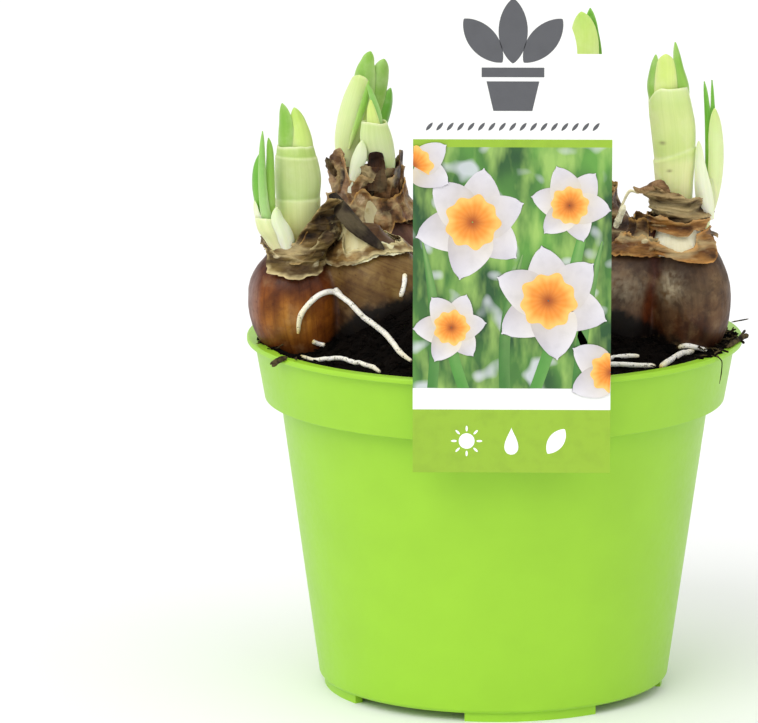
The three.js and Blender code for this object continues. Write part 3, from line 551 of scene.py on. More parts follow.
def root_finish():
    """A root: pale flesh with cloudy blotches and dark specks of soil."""
    made = Finish("root_flesh", Subsurface_Weight=0.15, Subsurface_Scale=0.001,
                  Subsurface_Radius=(1.0, 0.9, 0.6), Specular_IOR_Level=0.4)
    blotches = made.noise(made.place(), 500, 5, 0.6)
    specks = made.noise(made.place(), 900, 5, 0.75)
    tone = made.layered(made.read("tint"), (blotches, 0.5, 0.8, 0, 0.4, "d8cba4"),
                        (specks, 0.57, 0.62, 0, 0.85, "2a1d12"))
    return made.done(Base_Color=tone, Roughness=0.5, Normal=made.bumped((blotches, 0.15)))


def printed_finish(name):
    """Ink on the card: each shape's own colour, slightly uneven."""
    made = Finish(name, Specular_IOR_Level=0.4, Coat_Weight=0.15, Coat_Roughness=0.2)
    clouds = made.noise(made.place(), 250, 3, 0.5)
    tone = made.layered(made.read("tint"), (clouds, 0.45, 0.8, 0, 0.12, BLACK))
    return made.done(Base_Color=tone, Roughness=PRINT_ROUGHNESS)


def garden_finish():
    """The picture's ground: out-of-focus greens with pale blossom in the distance."""
    made = Finish("garden_print", Specular_IOR_Level=0.4, Coat_Weight=0.15, Coat_Roughness=0.2)
    wide = made.noise(made.stretched(made.place(), (1, 1, 0.6)), 75, 2, 0.4)
    small = made.noise(made.stretched(made.place(), (1, 1, 0.35)), 190, 3, 0.5)
    far = made.noise(made.place(), 120, 1, 0.4)
    tone = made.layered(opaque("1f4d22"), (wide, 0.35, 0.65, 0, 1, "5f9a3c"),
                        (small, 0.45, 0.7, 0, 0.75, "a4c866"), (far, 0.58, 0.7, 0, 0.8, "cfd3da"))
    return made.done(Base_Color=tone, Roughness=PRINT_ROUGHNESS)


def rounded(profile, steps=5):
    """An outline with its corners rounded. Each point: radius from the axis, height, rounding."""
    points = []
    count = len(profile)
    for i, (x, z, rounding) in enumerate(profile):
        here = Vector((x, z))
        if not rounding:
            points.append(here)
            continue
        before = Vector(profile[i - 1][:2])
        after = Vector(profile[(i + 1) % count][:2])
        start = here + (before - here).normalized() * rounding
        end = here + (after - here).normalized() * rounding
        for step in range(steps + 1):
            t = step / steps
            points.append(start * (1 - t) ** 2 + here * (2 * t * (1 - t)) + end * t * t)
    return points


def turned(profile, sides):
    """Rings of an outline turned round the upright axis."""
    angles = around_axis(sides)
    return np.array([[(p.x * math.cos(a), p.x * math.sin(a), p.y) for a in angles] for p in profile])


class Tree(Nodes):
    """A Geometry Nodes tree with named inputs."""

    def __init__(self, name, **inputs):
        super().__init__(bpy.data.node_groups.new(name, "GeometryNodeTree"))
        face = self.tree.interface
        face.new_socket("Geometry", in_out="INPUT", socket_type="NodeSocketGeometry")
        kinds = {int: "NodeSocketInt", float: "NodeSocketFloat"}
        for key, value in inputs.items():
            kind = kinds.get(type(value), "NodeSocketMaterial")
            socket = face.new_socket(key, in_out="INPUT", socket_type=kind)
            if type(value) in kinds:
                socket.default_value = value
        face.new_socket("Geometry", in_out="OUTPUT", socket_type="NodeSocketGeometry")
        self.values = inputs
        self.given = self.tree.nodes.new("NodeGroupInput").outputs

    def math(self, operation, *values):
        return self.wire("ShaderNodeMath", {"operation": operation}, enumerate(values))

    def random(self, low, high, seed, kind="FLOAT"):
        """A random number or vector for each point. The seed is an input of the tree plus a shift."""
        node = self.tree.nodes.new("FunctionNodeRandomValue")
        node.data_type = kind
        enabled = {socket.name: socket for socket in node.inputs if socket.enabled}
        for key, value in (("Min", low), ("Max", high), ("Seed", seed)):
            self.connect(enabled[key], value)
        return next(socket for socket in node.outputs if socket.enabled)

    def finished(self, geometry):
        """Ends in real geometry with its material."""
        real = self.add("GeometryNodeRealizeInstances", Geometry=geometry)
        last = self.add("GeometryNodeSetMaterial", Geometry=real, Material=self.given["Material"])
        self.connect(self.tree.nodes.new("NodeGroupOutput").inputs[0], last)

    def applied(self, obj):
        """Runs the tree on an object and leaves the result as its plain mesh."""
        modifier = obj.modifiers.new(self.tree.name, "NODES")
        modifier.node_group = self.tree
        for item in self.tree.interface.items_tree:
            if item.in_out == "INPUT" and item.name in self.values:
                modifier[item.identifier] = self.values[item.name]
        return baked(obj)


def pot_outline():
    """The pot's section as a closed outline: radius from the axis, height and rounding."""
    lip_foot = POT_HEIGHT - LIP_HEIGHT
    floor = FOOT_HEIGHT + WALL
    return [
        (0, FOOT_HEIGHT, 0), (BASE_RADIUS - 0.8, FOOT_HEIGHT, 0), (BASE_RADIUS, FOOT_HEIGHT + 0.8, 0.4),
        (SHOULDER_RADIUS, COLLAR_BOTTOM, 0.25), (COLLAR_BOTTOM_RADIUS, COLLAR_BOTTOM, 0.35),
        (COLLAR_TOP_RADIUS, lip_foot - 0.1, 0.5), (RIM_RADIUS, lip_foot, 0.35), (RIM_RADIUS, POT_HEIGHT, 0.7),
        (RIM_INNER_RADIUS, POT_HEIGHT, 0.6), (COLLAR_BOTTOM_RADIUS - WALL, COLLAR_BOTTOM + WALL, 0.5),
        (SHOULDER_RADIUS - WALL, COLLAR_BOTTOM + WALL, 0.5), (BASE_RADIUS - WALL, floor, 0.6), (0, floor, 0),
    ]


def make_pot():
    """A thin moulded pot: body, collar and lip in one, four foot arcs, and drain holes."""
    finish = plastic_finish("pot_plastic", "9bd02f", 0.4)
    shape = Shape()
    shape.add_rings(turned([point for point in rounded(pot_outline()) if point.x > 0.01], 200))
    pot = shape.made("pot_shell", finish, 40)
    tree = Tree("pot_details", Feet=FEET, Foot_Radius=FOOT_RADIUS * MM, Foot_Width=FOOT_WIDTH * MM,
                Foot_Height=(FOOT_HEIGHT + FOOT_OVERLAP) * MM, Foot_Sweep=FOOT_SWEEP, Foot_Start=FOOT_START,
                Holes=DRAIN_HOLES, Hole_Radius=DRAIN_RADIUS * MM, Hole_Circle=DRAIN_CIRCLE * MM,
                Material=finish)
    given = tree.given
    arc = tree.add("GeometryNodeCurveArc", Resolution=40, Radius=given["Foot_Radius"],
                   Start_Angle=tree.math("RADIANS", given["Foot_Start"]),
                   Sweep_Angle=tree.math("RADIANS", given["Foot_Sweep"]))
    section = tree.add("GeometryNodeCurvePrimitiveQuadrilateral", Width=given["Foot_Width"],
                       Height=given["Foot_Height"])
    foot = tree.add("GeometryNodeCurveToMesh", Curve=arc, Profile_Curve=section, Fill_Caps=True)
    lift = tree.add("ShaderNodeCombineXYZ", Z=tree.math("MULTIPLY", given["Foot_Height"], 0.5))
    standing = tree.add("GeometryNodeTransform", Geometry=foot, Translation=lift)
    spots = tree.add("GeometryNodeMeshLine", Count=given["Feet"], Offset=(0, 0, 0))
    share = tree.math("DIVIDE", tree.add("GeometryNodeInputIndex"), given["Feet"])
    spin = tree.add("ShaderNodeCombineXYZ", Z=tree.math("MULTIPLY", share, 2 * math.pi))
    feet = tree.add("GeometryNodeInstanceOnPoints", Points=spots, Instance=standing, Rotation=spin)
    circle = tree.add("GeometryNodeMeshCircle", Vertices=given["Holes"], Radius=given["Hole_Circle"])
    drill = tree.add("GeometryNodeMeshCylinder", Vertices=24, Radius=given["Hole_Radius"], Depth=0.02)
    drills = tree.add("GeometryNodeInstanceOnPoints", Points=circle, Instance=drill)
    cutters = tree.add("GeometryNodeRealizeInstances", Geometry=drills)
    cut = tree.wire("GeometryNodeMeshBoolean", {"operation": "DIFFERENCE"},
                    [(0, given["Geometry"]), (1, cutters)])
    both = tree.wire("GeometryNodeJoinGeometry", {}, [(0, cut), (0, feet)])
    tree.finished(both)
    tree.applied(pot)
    pot.data.set_sharp_from_angle(angle=math.radians(40))
    place(pot, "pot", "pot")


def soil_height(x, y):
    """The compost's surface: level at the wall, heaped between the bulbs."""
    def heap(middle_x, middle_y, rise, spread_x, spread_y):
        off = ((x - middle_x) / spread_x) ** 2 + ((y - middle_y) / spread_y) ** 2
        return rise * np.exp(-off ** 2)

    from_wall = np.clip((RIM_INNER_RADIUS - np.hypot(x, y)) / 12, 0, 1)
    rise = heap(-7, -14, 15.5, 37, 44) + heap(33, -22, 4.5, 20, 20) + heap(2, 24, 4, 34, 24)
    uneven = 0.5 * np.sin(0.61 * x + 0.9) * np.cos(0.53 * y) + 0.4 * np.sin(0.37 * x - 0.83 * y)
    return SOIL_EDGE_HEIGHT + rise * from_wall ** 0.6 + uneven * from_wall


def lobe_at(lobe, z):
    """A bulb lobe's middle and radii at each height. It goes on straight above its neck."""
    z = np.asarray(z, float)
    belly, foot, radii, top = lobe["belly"], lobe["foot"], lobe["radii"], lobe["top"]
    down = np.clip((belly[2] - z) / (belly[2] - BULB_FOOT), 0, 1)
    shrink = np.sqrt(1 - down ** 1.8)
    low_lean = down ** 1.6
    up = np.clip((z - belly[2]) / (top[2] - belly[2]), 0, 1)
    narrowing = (1 - np.cos(math.pi * up ** lobe.get("shoulder", 1.6))) / 2
    lean = up * up * (3 - 2 * up)
    below = z < belly[2]
    middles = [np.where(below, middle + (low - middle) * low_lean, middle + (high - middle) * lean)
               for middle, low, high in zip(belly, foot, top)]
    reaches = [np.where(below, np.maximum(radius * shrink, FOOT_PLATE_RADIUS),
                        radius + (lobe["neck"] - radius) * narrowing) for radius in radii]
    return *middles, *reaches


def lobe_rings(lobe, levels=70, sides=72):
    """Rings of a lobe from its foot to its neck, a little slimmer where papery skins lie over it."""
    z = np.linspace(BULB_FOOT, lobe["top"][2], levels)
    x, y, reach_x, reach_y = lobe_at(lobe, z)
    inset = 0.9 * np.clip((z - lobe["belly"][2]) / (lobe["top"][2] - lobe["belly"][2]) * 2 - 0.6, 0, 1)
    angles = around_axis(sides)
    return grid_of(x[:, None] + (reach_x - inset)[:, None] * np.cos(angles),
                   y[:, None] + (reach_y - inset)[:, None] * np.sin(angles), z[:, None])


def nearest_lobe(lobes, points):
    """For each point: how much it belongs to the first lobe, its angle round its own lobe, and how
    far out it is."""
    found = []
    for lobe in lobes:
        x, y, reach_x, reach_y = lobe_at(lobe, points[:, 2])
        off_x = (points[:, 0] - x) / reach_x
        off_y = (points[:, 1] - y) / reach_y
        found.append((np.hypot(off_x, off_y), np.arctan2(off_y, off_x)))
    nearer = found[0][0] <= found[1][0]
    share = np.clip(0.5 + (found[1][0] - found[0][0]) / 0.3, 0, 1)
    return share, np.where(nearer, found[0][1], found[1][1]), np.minimum(found[0][0], found[1][0])


def fused_bulb(lobes, name, finish):
    """Lobes grown together into one mesh."""
    shape = Shape()
    for lobe in lobes:
        shape.add_rings(lobe_rings(lobe))
    bulb = shape.made(name, finish)
    remesh = bulb.modifiers.new("fused", "REMESH")
    remesh.mode = "VOXEL"
    remesh.voxel_size = VOXEL * MM
    soften = bulb.modifiers.new("soften", "SMOOTH")
    soften.iterations = 16
    return baked(bulb)


def make_bulb(name, seed, paint, finish, slot, sideways=False):
    """A bulb with shallow dents, coloured by height and side. Sideways: its second lobe's streaks
    run round it."""
    lobes = BULBS[name]
    bulb = fused_bulb(lobes, f"bulb_{name}_scales", finish)
    mesh = bulb.data
    points = points_of(bulb)
    normals = np.empty(3 * len(points))
    mesh.vertices.foreach_get("normal", normals)
    dents = 0.28 * lumps(points * (1, 1, 0.7), 9, seed) + 0.1 * lumps(points * (1, 1, 0.3), 2.2, 7)
    points += normals.reshape(-1, 3) * (dents - 0.15)[:, None]
    mesh.vertices.foreach_set("co", (points * MM).ravel())
    share, angle, _ = nearest_lobe(lobes, points)
    across = angle * 15 + 40 * (share > 0.5)
    along = points[:, 2]
    if sideways:
        turned_over = share < 0.5
        across, along = (np.where(turned_over, along + 0.4 * points[:, 0], across),
                         np.where(turned_over, across, along))
    write_attributes(mesh, grid_of(across, along, seed), paint(points, share))
    mesh.shade_smooth()
    mesh.update()
    return place(bulb, slot, f"bulb_{name}")


def patch(points, x, z, reach_x, reach_z):
    """Fades from 1 at a place on the front to 0 at its edge."""
    off = ((points[:, 0] - x) / reach_x) ** 2 + ((points[:, 2] - z) / reach_z) ** 2
    return np.exp(-off) * (points[:, 1] < 0)


def soil_and_shade(points, at, levels, uneven):
    """How much soil and painted shade darken a bulb: all of it below a line that runs across the front."""
    line = np.interp(points[:, 0], at, levels)
    crumbly = lumps(points, 2.4, 17, 3)
    depth = line - points[:, 2] + 1.6 * uneven + 1.6 * crumbly
    return np.clip(0.5 + depth / 2.4, 0, 1) * (points[:, 1] < 6)


def painted_amber(points, share):
    """Amber over the belly, brown under the collar as painted shade, a painted greyish sheen at the outer
    edge, tan on the right.
    """
    z = points[:, 2]
    uneven = lumps(points, 14, 3)
    patchy = lumps(points * (1, 1, 0.6), 7, 15)
    # The amber here and the tan below darken towards the foot and under the collar: painted shade.
    amber = shaded([(100, "461f08"), (108, "6d370c"), (116, "9a5810"), (123, "8f4e0e"), (128, "6a330a"),
                    (133, "4a2109"), (141, "42270f")], z + 2.5 * uneven)
    amber = painted(amber, ("4c2008", 0.6 * np.clip(patchy * 1.6, 0, 1)),
                    ("cf9230", 0.6 * patch(points, -60, 117, 6, 6)))
    tan = shaded([(104, "1c110a"), (112, "2c1a0c"), (119, "4e3315"), (126, "735628"), (133, "7d602f"),
                  (141, "644624")], z + 3 * uneven)
    tint = blend(painted(tan, ("a58a50", 0.45 * np.clip(patchy * 1.4, 0, 1))), amber, share)
    # Painted shade in the seam between the two lobes, low down.
    seam_shade = np.exp(-((share - 0.5) / 0.35) ** 2) * np.clip((131 - z) / 6, 0, 1)
    # A painted greyish sheen along the amber lobe's outer left edge.
    edge = np.clip((-69.5 - points[:, 0]) / 4 + 0.2 * uneven, 0, 1) * np.clip((z - 104) / 12, 0, 1)
    # Soil and painted shade low on the front.
    dirt_and_shade = soil_and_shade(points, (-56, -50, -46, -40, -30, -22), (103, 108.5, 115, 120, 123, 126), uneven)
    return painted(tint, ("3c1c0a", 0.8 * seam_shade), ("a08e8a", 0.7 * edge), (DIRT_AND_SHADE, 0.96 * dirt_and_shade))


def painted_chestnut(points, share):
    """Chestnut with painted greyish sheen and highlights on the shoulders, olive lights lower down and a red
    groove.
    """
    z = points[:, 2]
    uneven = lumps(points, 11, 8)
    patchy = lumps(points * (1, 1, 0.7), 6, 21)
    tint = shaded([(100, "27120a"), (108, "3f200d"), (115, "512c12"), (121, "573818"), (127, "5a4326"),
                   (131, "4a3420"), (138, "452c18")], z + 3 * uneven)
    # Painted greyish sheen round the shoulders.
    shine = np.clip(1.3 - np.abs(z - 126) / 8 + patchy, 0, 1) * (1 - 0.5 * share)
    crinkled_highlights = np.clip(0.6 + 1.2 * lumps(points, 1.6, 33, 2), 0, 1)
    middle = np.interp(z, (116, 131), (45.4, 48))
    groove = np.exp(-((points[:, 0] - middle + 0.5 * uneven) / 1.9) ** 2) * (points[:, 1] < 0)
    # Soil and painted shade low on the front.
    dirt_and_shade = soil_and_shade(points, (28, 36, 44, 52, 60), (122.5, 120.5, 117, 112.5, 108), uneven)
    return painted(
        tint, ("7f6850", 0.5 * shine), ("6a4c2c", 0.45 * np.clip(1.5 * patchy, 0, 1)),
        ("331809", 0.6 * np.clip(-1.5 * patchy - 0.1, 0, 1)),
        # Painted highlights, crinkled, on the shoulder of each lobe.
        ("cfc3a4", 0.7 * crinkled_highlights * patch(points, 51.5, 127, 4.5, 4)),
        ("cfc3a4", 0.45 * crinkled_highlights * patch(points, 38.5, 126, 5, 3.5)),
        ("4e1d0c", 0.9 * groove), ("74360f", 0.7 * groove * patch(points, 46, 120, 3, 5)),
        (DIRT_AND_SHADE, 0.96 * dirt_and_shade))


def painted_russet(points, _):
    """Russet with pink lights on both lobes, and soil round the foot."""
    z = points[:, 2]
    uneven = lumps(points, 12, 5)
    tint = shaded([(100, "2c150e"), (112, "4a271a"), (120, "63362a"), (128, "74483e"), (136, "7a5040"),
                   (142, "6a4630")], z + 3 * uneven)
    dirt_and_shade = np.clip(0.5 + (116 - z + 2.2 * uneven) / 5, 0, 1)
    return painted(tint, ("8f6c60", 0.4 * np.clip(1.2 * lumps(points, 7, 31), 0, 1)), (DIRT_AND_SHADE, 0.9 * dirt_and_shade))


def make_bulbs():
    amber = bulb_finish("bulb_amber_skin", "8a4a1a", 0.22, 0.6)
    brown = bulb_finish("bulb_brown_skin", "5e3520", 0.3, 0.3)
    return [
        make_bulb("a", 1.0, painted_amber, amber, "bulb_amber", True),
        make_bulb("b", 4.0, painted_russet, brown, "bulb_brown"),
        make_bulb("c", 9.0, painted_russet, brown, "bulb_brown"),
        make_bulb("d", 13.0, painted_chestnut, brown, "bulb_brown"),
    ]


def make_soil(finish, sides=330, rings_across=118):
    """The compost: a lumpy surface closed down to the pot's floor."""
    angles = around_axis(sides)
    inset = WALL + SOIL_GAP
    floor = FOOT_HEIGHT + WALL + SOIL_GAP
    step = COLLAR_BOTTOM + WALL + SOIL_GAP
    walls = [(BASE_RADIUS - inset, floor), (SHOULDER_RADIUS - inset, COLLAR_BOTTOM),
             (SHOULDER_RADIUS - inset, step), (COLLAR_BOTTOM_RADIUS - inset, step)]
    rings = [[(r * math.cos(a), r * math.sin(a), z) for a in angles] for r, z in walls]
    for radius in np.linspace(RIM_INNER_RADIUS - 0.35, 0.4, rings_across):
        x = radius * np.cos(angles)
        y = radius * np.sin(angles)
        flat = grid_of(x, y, 0)
        rough = 0.55 * lumps(flat, 5, 2) + 0.35 * lumps(flat, 1.7, 11, 2)
        near_wall = min((RIM_INNER_RADIUS - radius) / 6, 1)
        rings.append(grid_of(x, y, soil_height(x, y) + rough * (0.35 + 0.65 * near_wall)))
    shape = Shape()
    shape.add_rings(np.array(rings, float))
    soil = shape.made("compost", finish, 75)
    points = points_of(soil)
    open_soil = np.ones(len(points))
    for lobes in BULBS.values():
        _, _, out = nearest_lobe(lobes, points)
        open_soil *= out > 0.93
    open_soil *= points[:, 2] > SOIL_EDGE_HEIGHT - 3
    open_soil *= np.hypot(points[:, 0], points[:, 1]) < RIM_INNER_RADIUS - 1.6
    mark_open(soil, open_soil)
    place(soil, "soil", "soil")
    return soil


def scatter_tree(name, shape_of, **inputs):
    """Bits strewn over a surface where its attribute "open" is 1, each turned and sized at random."""
    tree = Tree(name, **inputs)
    given = tree.given
    here = tree.wire("GeometryNodeInputNamedAttribute", {"data_type": "FLOAT"}, [("Name", "open")])
    density = tree.math("MULTIPLY", here, given["Density"])
    spots = tree.add("GeometryNodeDistributePointsOnFaces", Mesh=given["Geometry"], Density=density,
                     Seed=given["Seed"])
    size = tree.random(given["Smallest"], given["Largest"], tree.math("ADD", given["Seed"], 1))
    turn = tree.random((-0.5, -0.5, 0.0), (0.5, 0.5, 6.28), tree.math("ADD", given["Seed"], 2),
                       "FLOAT_VECTOR")
    bits = tree.add("GeometryNodeInstanceOnPoints", Points=spots, Instance=shape_of(tree), Rotation=turn,
                    Scale=size)
    real = tree.add("GeometryNodeRealizeInstances", Geometry=bits)
    bend = tree.add("ShaderNodeTexNoise", "Color", Vector=tree.add("GeometryNodeInputPosition"),
                    Scale=given["Roughness_Scale"], Detail=2.0)
    centred = tree.vector_math("SUBTRACT", [(0, bend), (1, (0.5, 0.5, 0.5))])
    scaled = tree.vector_math("SCALE", [(0, centred), ("Scale", given["Roughness"])])
    tree.finished(tree.add("GeometryNodeSetPosition", Geometry=real, Offset=scaled))
    return tree


def crumb_shape(tree):
    ball = tree.add("GeometryNodeMeshIcoSphere", Radius=1.0, Subdivisions=1)
    return tree.add("GeometryNodeTransform", Geometry=ball, Scale=(1.0, 0.8, 0.6))


def fibre_shape(tree):
    rod = tree.add("GeometryNodeMeshCylinder", Vertices=5, Side_Segments=7, Radius=0.035, Depth=1.0)
    return tree.add("GeometryNodeTransform", Geometry=rod, Rotation=(0, 1.5708, 0))


# What is strewn on a surface: the piece, its tree, the shape of a bit, how many lie on a square
# metre, the seed, a bit's least and greatest size and how far it is bent, in metres, and how finely
COMPOST_BITS = (
    ("compost_crumbs", "small_crumbs", crumb_shape, 360000.0, 3, 0.0003, 0.0008, 0.0009, 1500.0),
    ("compost_lumps", "large_crumbs", crumb_shape, 42000.0, 8, 0.0009, 0.0021, 0.0016, 700.0),
    ("compost_fibres", "fibres", fibre_shape, 30000.0, 5, 0.003, 0.008, 0.0022, 260.0),
)
RIM_BITS = (
    ("rim_crumbs", "rim_crumb_scatter", crumb_shape, 2600000.0, 21, 0.0003, 0.0009, 0.001, 1500.0),
    ("rim_fibres", "rim_fibre_scatter", fibre_shape, 320000.0, 27, 0.003, 0.008, 0.003, 260.0),
)


def strew(over, bits, finishes):
    """Makes plain meshes of the bits that are strewn over a surface."""
    for (name, tree, shape, density, seed, least, most, bend, scale), finish in zip(bits, finishes):
        tree = scatter_tree(tree, shape, Density=density, Seed=seed, Smallest=least, Largest=most,
                            Roughness=bend, Roughness_Scale=scale, Material=finish)
        strewn = linked(bpy.data.objects.new(name, over.data.copy()))
        place(tree.applied(strewn), "soil")


# Where compost lies on the pot's rim: from angle to angle, round from +X, and how thickly
SPILLS = ((-37, 6, 0.8), (168, 224, 0.42))
SPILL_INSIDE = 2.6


def make_rim_soil(finish):
    """Compost spilt on the rim in two places, with the crumbs and fibres that stick to it."""
    shape = Shape()
    for number, (start, end, amount) in enumerate(SPILLS):
        degrees = np.linspace(start, end, 150)
        turn = np.radians(degrees)
        share = np.linspace(0, 1, 16)[:, None]
        reach = SPILL_INSIDE + (RIM_RADIUS - RIM_INNER_RADIUS) * amount
        radius = RIM_INNER_RADIUS - SPILL_INSIDE + share * reach
        x, y = radius * np.cos(turn), radius * np.sin(turn)
        rough = lumps(grid_of(x, y, 0), 4, 31 + number, 4)
        taper = np.clip(np.minimum(degrees - start, end - degrees) / 9, 0, 1)
        thick = (0.5 + 1.6 * rough) * amount * taper * np.sin(math.pi * share) ** 0.7
        top = POT_HEIGHT - 0.25 + np.maximum(thick, 0)
        shape.add_sheet(grid_of(x, y, top), grid_of(x, y, POT_HEIGHT - 0.5), (0, 0, 0), WHITE, False)
    spilt = shape.made("rim_compost", finish, 75)
    points = points_of(spilt)
    mark_open(spilt, (points[:, 2] > POT_HEIGHT).astype(float))
    strew(spilt, RIM_BITS, (finish, fibre_finish()))
    place(spilt, "soil")


def around(base, peaks):
    """A height that varies round an axis: a base and smooth peaks, each angle, rise, spread."""
    def height(degrees):
        total = np.full(np.shape(degrees), float(base))
        for middle, rise, spread in peaks:
            total += rise * np.exp(-(angle_from(degrees, middle) / spread) ** 2)
        return total
    return height


def edge(*points):
    """A height read between (angle, height) points that go round an axis."""
    at = [angle for angle, _ in points]
    heights = [height for _, height in points]

    def height(degrees):
        return np.interp(degrees, at, heights, period=360)
    return height


def skin(stand, low, high, tint, **more):
    """One layer of a collar: how far it stands off the bulb, its two edges, its colour, and more."""
    return {"stand": stand, "low": edge(*low), "high": edge(*high), "tint": tint, **more}


# How many points go round a skin, how far inside the throat it can lie, and how closely its wrinkles
# lie round the axis and upwards
SKIN_SIDES = 150
THROAT_INSET = 1.4
PLAIN_WRINKLE = (1.0, 0.45)


def ragged(degrees, depth, seed):
    """Uneven tears along an edge."""
    turn = np.radians(degrees)
    ring = grid_of(np.cos(turn), np.sin(turn), 0)
    return depth * (lumps(ring, 0.35, seed, 4) + 0.4 * np.abs(lumps(ring, 0.05, seed + 9, 2)))


def wrinkles(skin, turn, z, seed):
    """A skin's folds, its creases, the tears along its edges and its facets, at each point."""
    crowd_round, crowd_up = skin.get("wrinkle", PLAIN_WRINKLE)
    ring = grid_of(np.cos(turn) * 10 * crowd_round, np.sin(turn) * 10 * crowd_round, z * crowd_up)
    facets = [noise.voronoi(Vector(point) / 5.5)[0][0] for point in ring.reshape(-1, 3)]
    return (lumps(ring, 6.5, seed + 20), np.abs(lumps(ring, 9, seed + 40)), lumps(ring, 2.5, seed + 60, 2),
            np.array(facets).reshape(z.shape))


def skin_tint(skin, degrees, z, from_edge, folds, creases, torn):
    """A skin's colours: painted shade in its creases and hollows, paler along its edges, with patches."""
    # Painted shade where the skin is creased and sunk in, less where its folds bulge out.
    share = 0.25 + 1.3 * creases - 0.6 * folds
    pale = np.clip(1.2 - from_edge / (0.9 + 0.5 * torn), 0, 1)
    layers = [(skin.get("shade", "5a4128"), share), (skin.get("edge", "c79a55"), 0.85 * pale)]
    for angle, level, reach, rise_by, code in skin.get("patches", ()):
        off = angle_from(degrees, angle) / reach
        spot = np.exp(-off ** 2 - ((z - level) / rise_by) ** 2) + 0.2 * torn
        layers.append((code, np.clip((spot - 0.45) * 4, 0, 0.9)))
    return painted(colour(skin["tint"]), *layers)


def add_skin(shape, lobe, collar, skin, seed):
    """One papery layer of a collar: it hugs the lobe's shoulder and stands up round the shoots."""
    degrees = np.linspace(0, 360, SKIN_SIDES, endpoint=False)
    turn = np.radians(degrees)
    low = skin["low"](degrees) + ragged(degrees, skin.get("low_tear", 0.8), seed)
    high = skin["high"](degrees) + ragged(degrees, skin.get("high_tear", 1.0), seed + 3)
    high = np.maximum(high, low + 0.6)
    t = np.linspace(0, 1, skin.get("rows", 26))[:, None]
    z = low + (high - low) * t
    skirt, rim = collar["skirt"](degrees), collar["rim"](degrees)
    rise = np.clip((z - skirt) / (rim - skirt), 0, 1.1)
    opened = np.minimum(3 * rise, 1)
    folds, creases, torn, facets = wrinkles(skin, turn, z, seed)
    crumple = skin.get("crumple", 0.8) * (folds - 1.5 * creases + 0.4) * (0.4 + 0.6 * opened)
    crumple += skin.get("facets", 0.5) * (facets - 0.5)
    crumple += rise * (0.3 + 0.3 * np.sin(5 * turn + 2) + 0.25 * np.sin(8 * turn))
    crumple += skin.get("flare", 0.5) * t ** 5 * (0.6 + folds) + skin.get("kick", 0.3) * (1 - t) ** 6
    x, y, *reaches = lobe_at(lobe, z)
    outs = []
    for reach, throat in zip(reaches, collar["throat"]):
        hug = reach + skin["stand"]
        out = hug + (throat - THROAT_INSET + skin["stand"] - hug) * opened
        outs.append(np.maximum(hug, out) + crumple)
    middle_x, middle_y = x + opened * collar["shift"][0], y + opened * collar["shift"][1]
    outer, inner = [grid_of(middle_x + (outs[0] - depth) * np.cos(turn),
                            middle_y + (outs[1] - depth) * np.sin(turn), z) for depth in (0, PAPER_THICKNESS)]
    tint = skin_tint(skin, degrees, z, np.minimum(z - low, high - z), folds, creases, torn)
    shape.add_sheet(outer, inner, grid_of(turn * 10, z, seed), tint, True)


def half_widths(stations, rows, steps, thinnest=0.22):
    """A leaf's half width at each row, drawn in to its tip past the last station but one."""
    half = np.maximum(rows[:, 3], thinnest)[:, None]
    last = np.clip(np.linspace(0, 1, steps + 1) * (len(stations) - 1) - (len(stations) - 2), 0, 1)[:, None]
    full = stations[-2][3]
    return np.where(last > 0, np.maximum(full * (1 - last ** 1.5) ** 0.82, thinnest), half)


def blade_rings(stations, face=0, thick=1.4, cup=0.35, steps=30, sides=26, ruffle=0.0, seed=0):
    """Rings of a leaf or flap: a curved strip with rounded edges. Stations: x, y, height, half
    width; face is the side that its outer face is turned to."""
    rows = smooth_rows(stations, steps)
    widest = rows[:, 3].max()
    turn = math.radians(face)
    middle = rows[:, :3]
    height = middle[:, 2]
    along = unit(np.gradient(middle, axis=0))
    across = unit(np.cross(along, np.array([math.sin(turn), -math.cos(turn), 0])))
    normal = np.cross(across, along)
    half = half_widths(stations, rows, steps)
    if ruffle:
        half = half * (1 + ruffle * lumps(grid_of(height, 0, seed), 1.6, seed)[:, None])
    phase = (np.arange(sides) + 0.5) * 2 * math.pi / sides
    s = np.cos(phase)[None, :]
    lift = (np.sign(np.sin(phase)) * np.abs(np.sin(phase)) ** 0.7)[None, :]
    body = np.maximum(0.45, thick * (0.35 + 0.65 * (half / widest)))
    bend = -cup * half * s * s + lift * body / 2 * (1 - 0.45 * s * s)
    if ruffle:
        bend = bend + ruffle * 1.6 * lumps(grid_of(s * 3, height[:, None], seed), 3, seed)
    rings = middle[:, None] + across[:, None] * (s * half)[..., None] + normal[:, None] * bend[..., None]
    length = np.concatenate([[0], np.cumsum(np.linalg.norm(np.diff(middle, axis=0), axis=1))])
    return rings, grid_of(s * half, length[:, None], middle[0].sum()), length / length[-1], s


# Colours of leaves and flaps, from foot to tip
BLADE_TINTS = {
    "green": ["d8e39c", "9cc657", "86b845", "8dbd4d"],
    "bright": ["dfe9a6", "cfe486", "c8e274", "b5d65c"],
    "blue": ["d3e3b4", "a3cc7c", "8ac05e", "92c45e"],
    "dark": ["dce8b0", "83bd44", "6caf38", "76b440"],
    "pale": ["e6e9b4", "dbe8a6", "d6e6a2", "cfe08e"],
    "cream": ["f1f3da", "edf2d6", "e9f0d0", "dfe9ba"],
    "yellow": ["e0e8ae", "dbe992", "d8ea86", "cfe176"],
    "torn": ["8a6a48", "b8946a", "a37e58", "bb986a"],
    "dry": ["241c15", "352b21", "2b221a", "3e3429"],
    "umber": ["3c2412", "482c16", "3a2211", "2e190b"],
    "waxen": ["b9ad84", "cfc59c", "d6cda6", "c2b688"],
}
DEAD_TINTS = ("torn", "dry", "umber", "waxen")


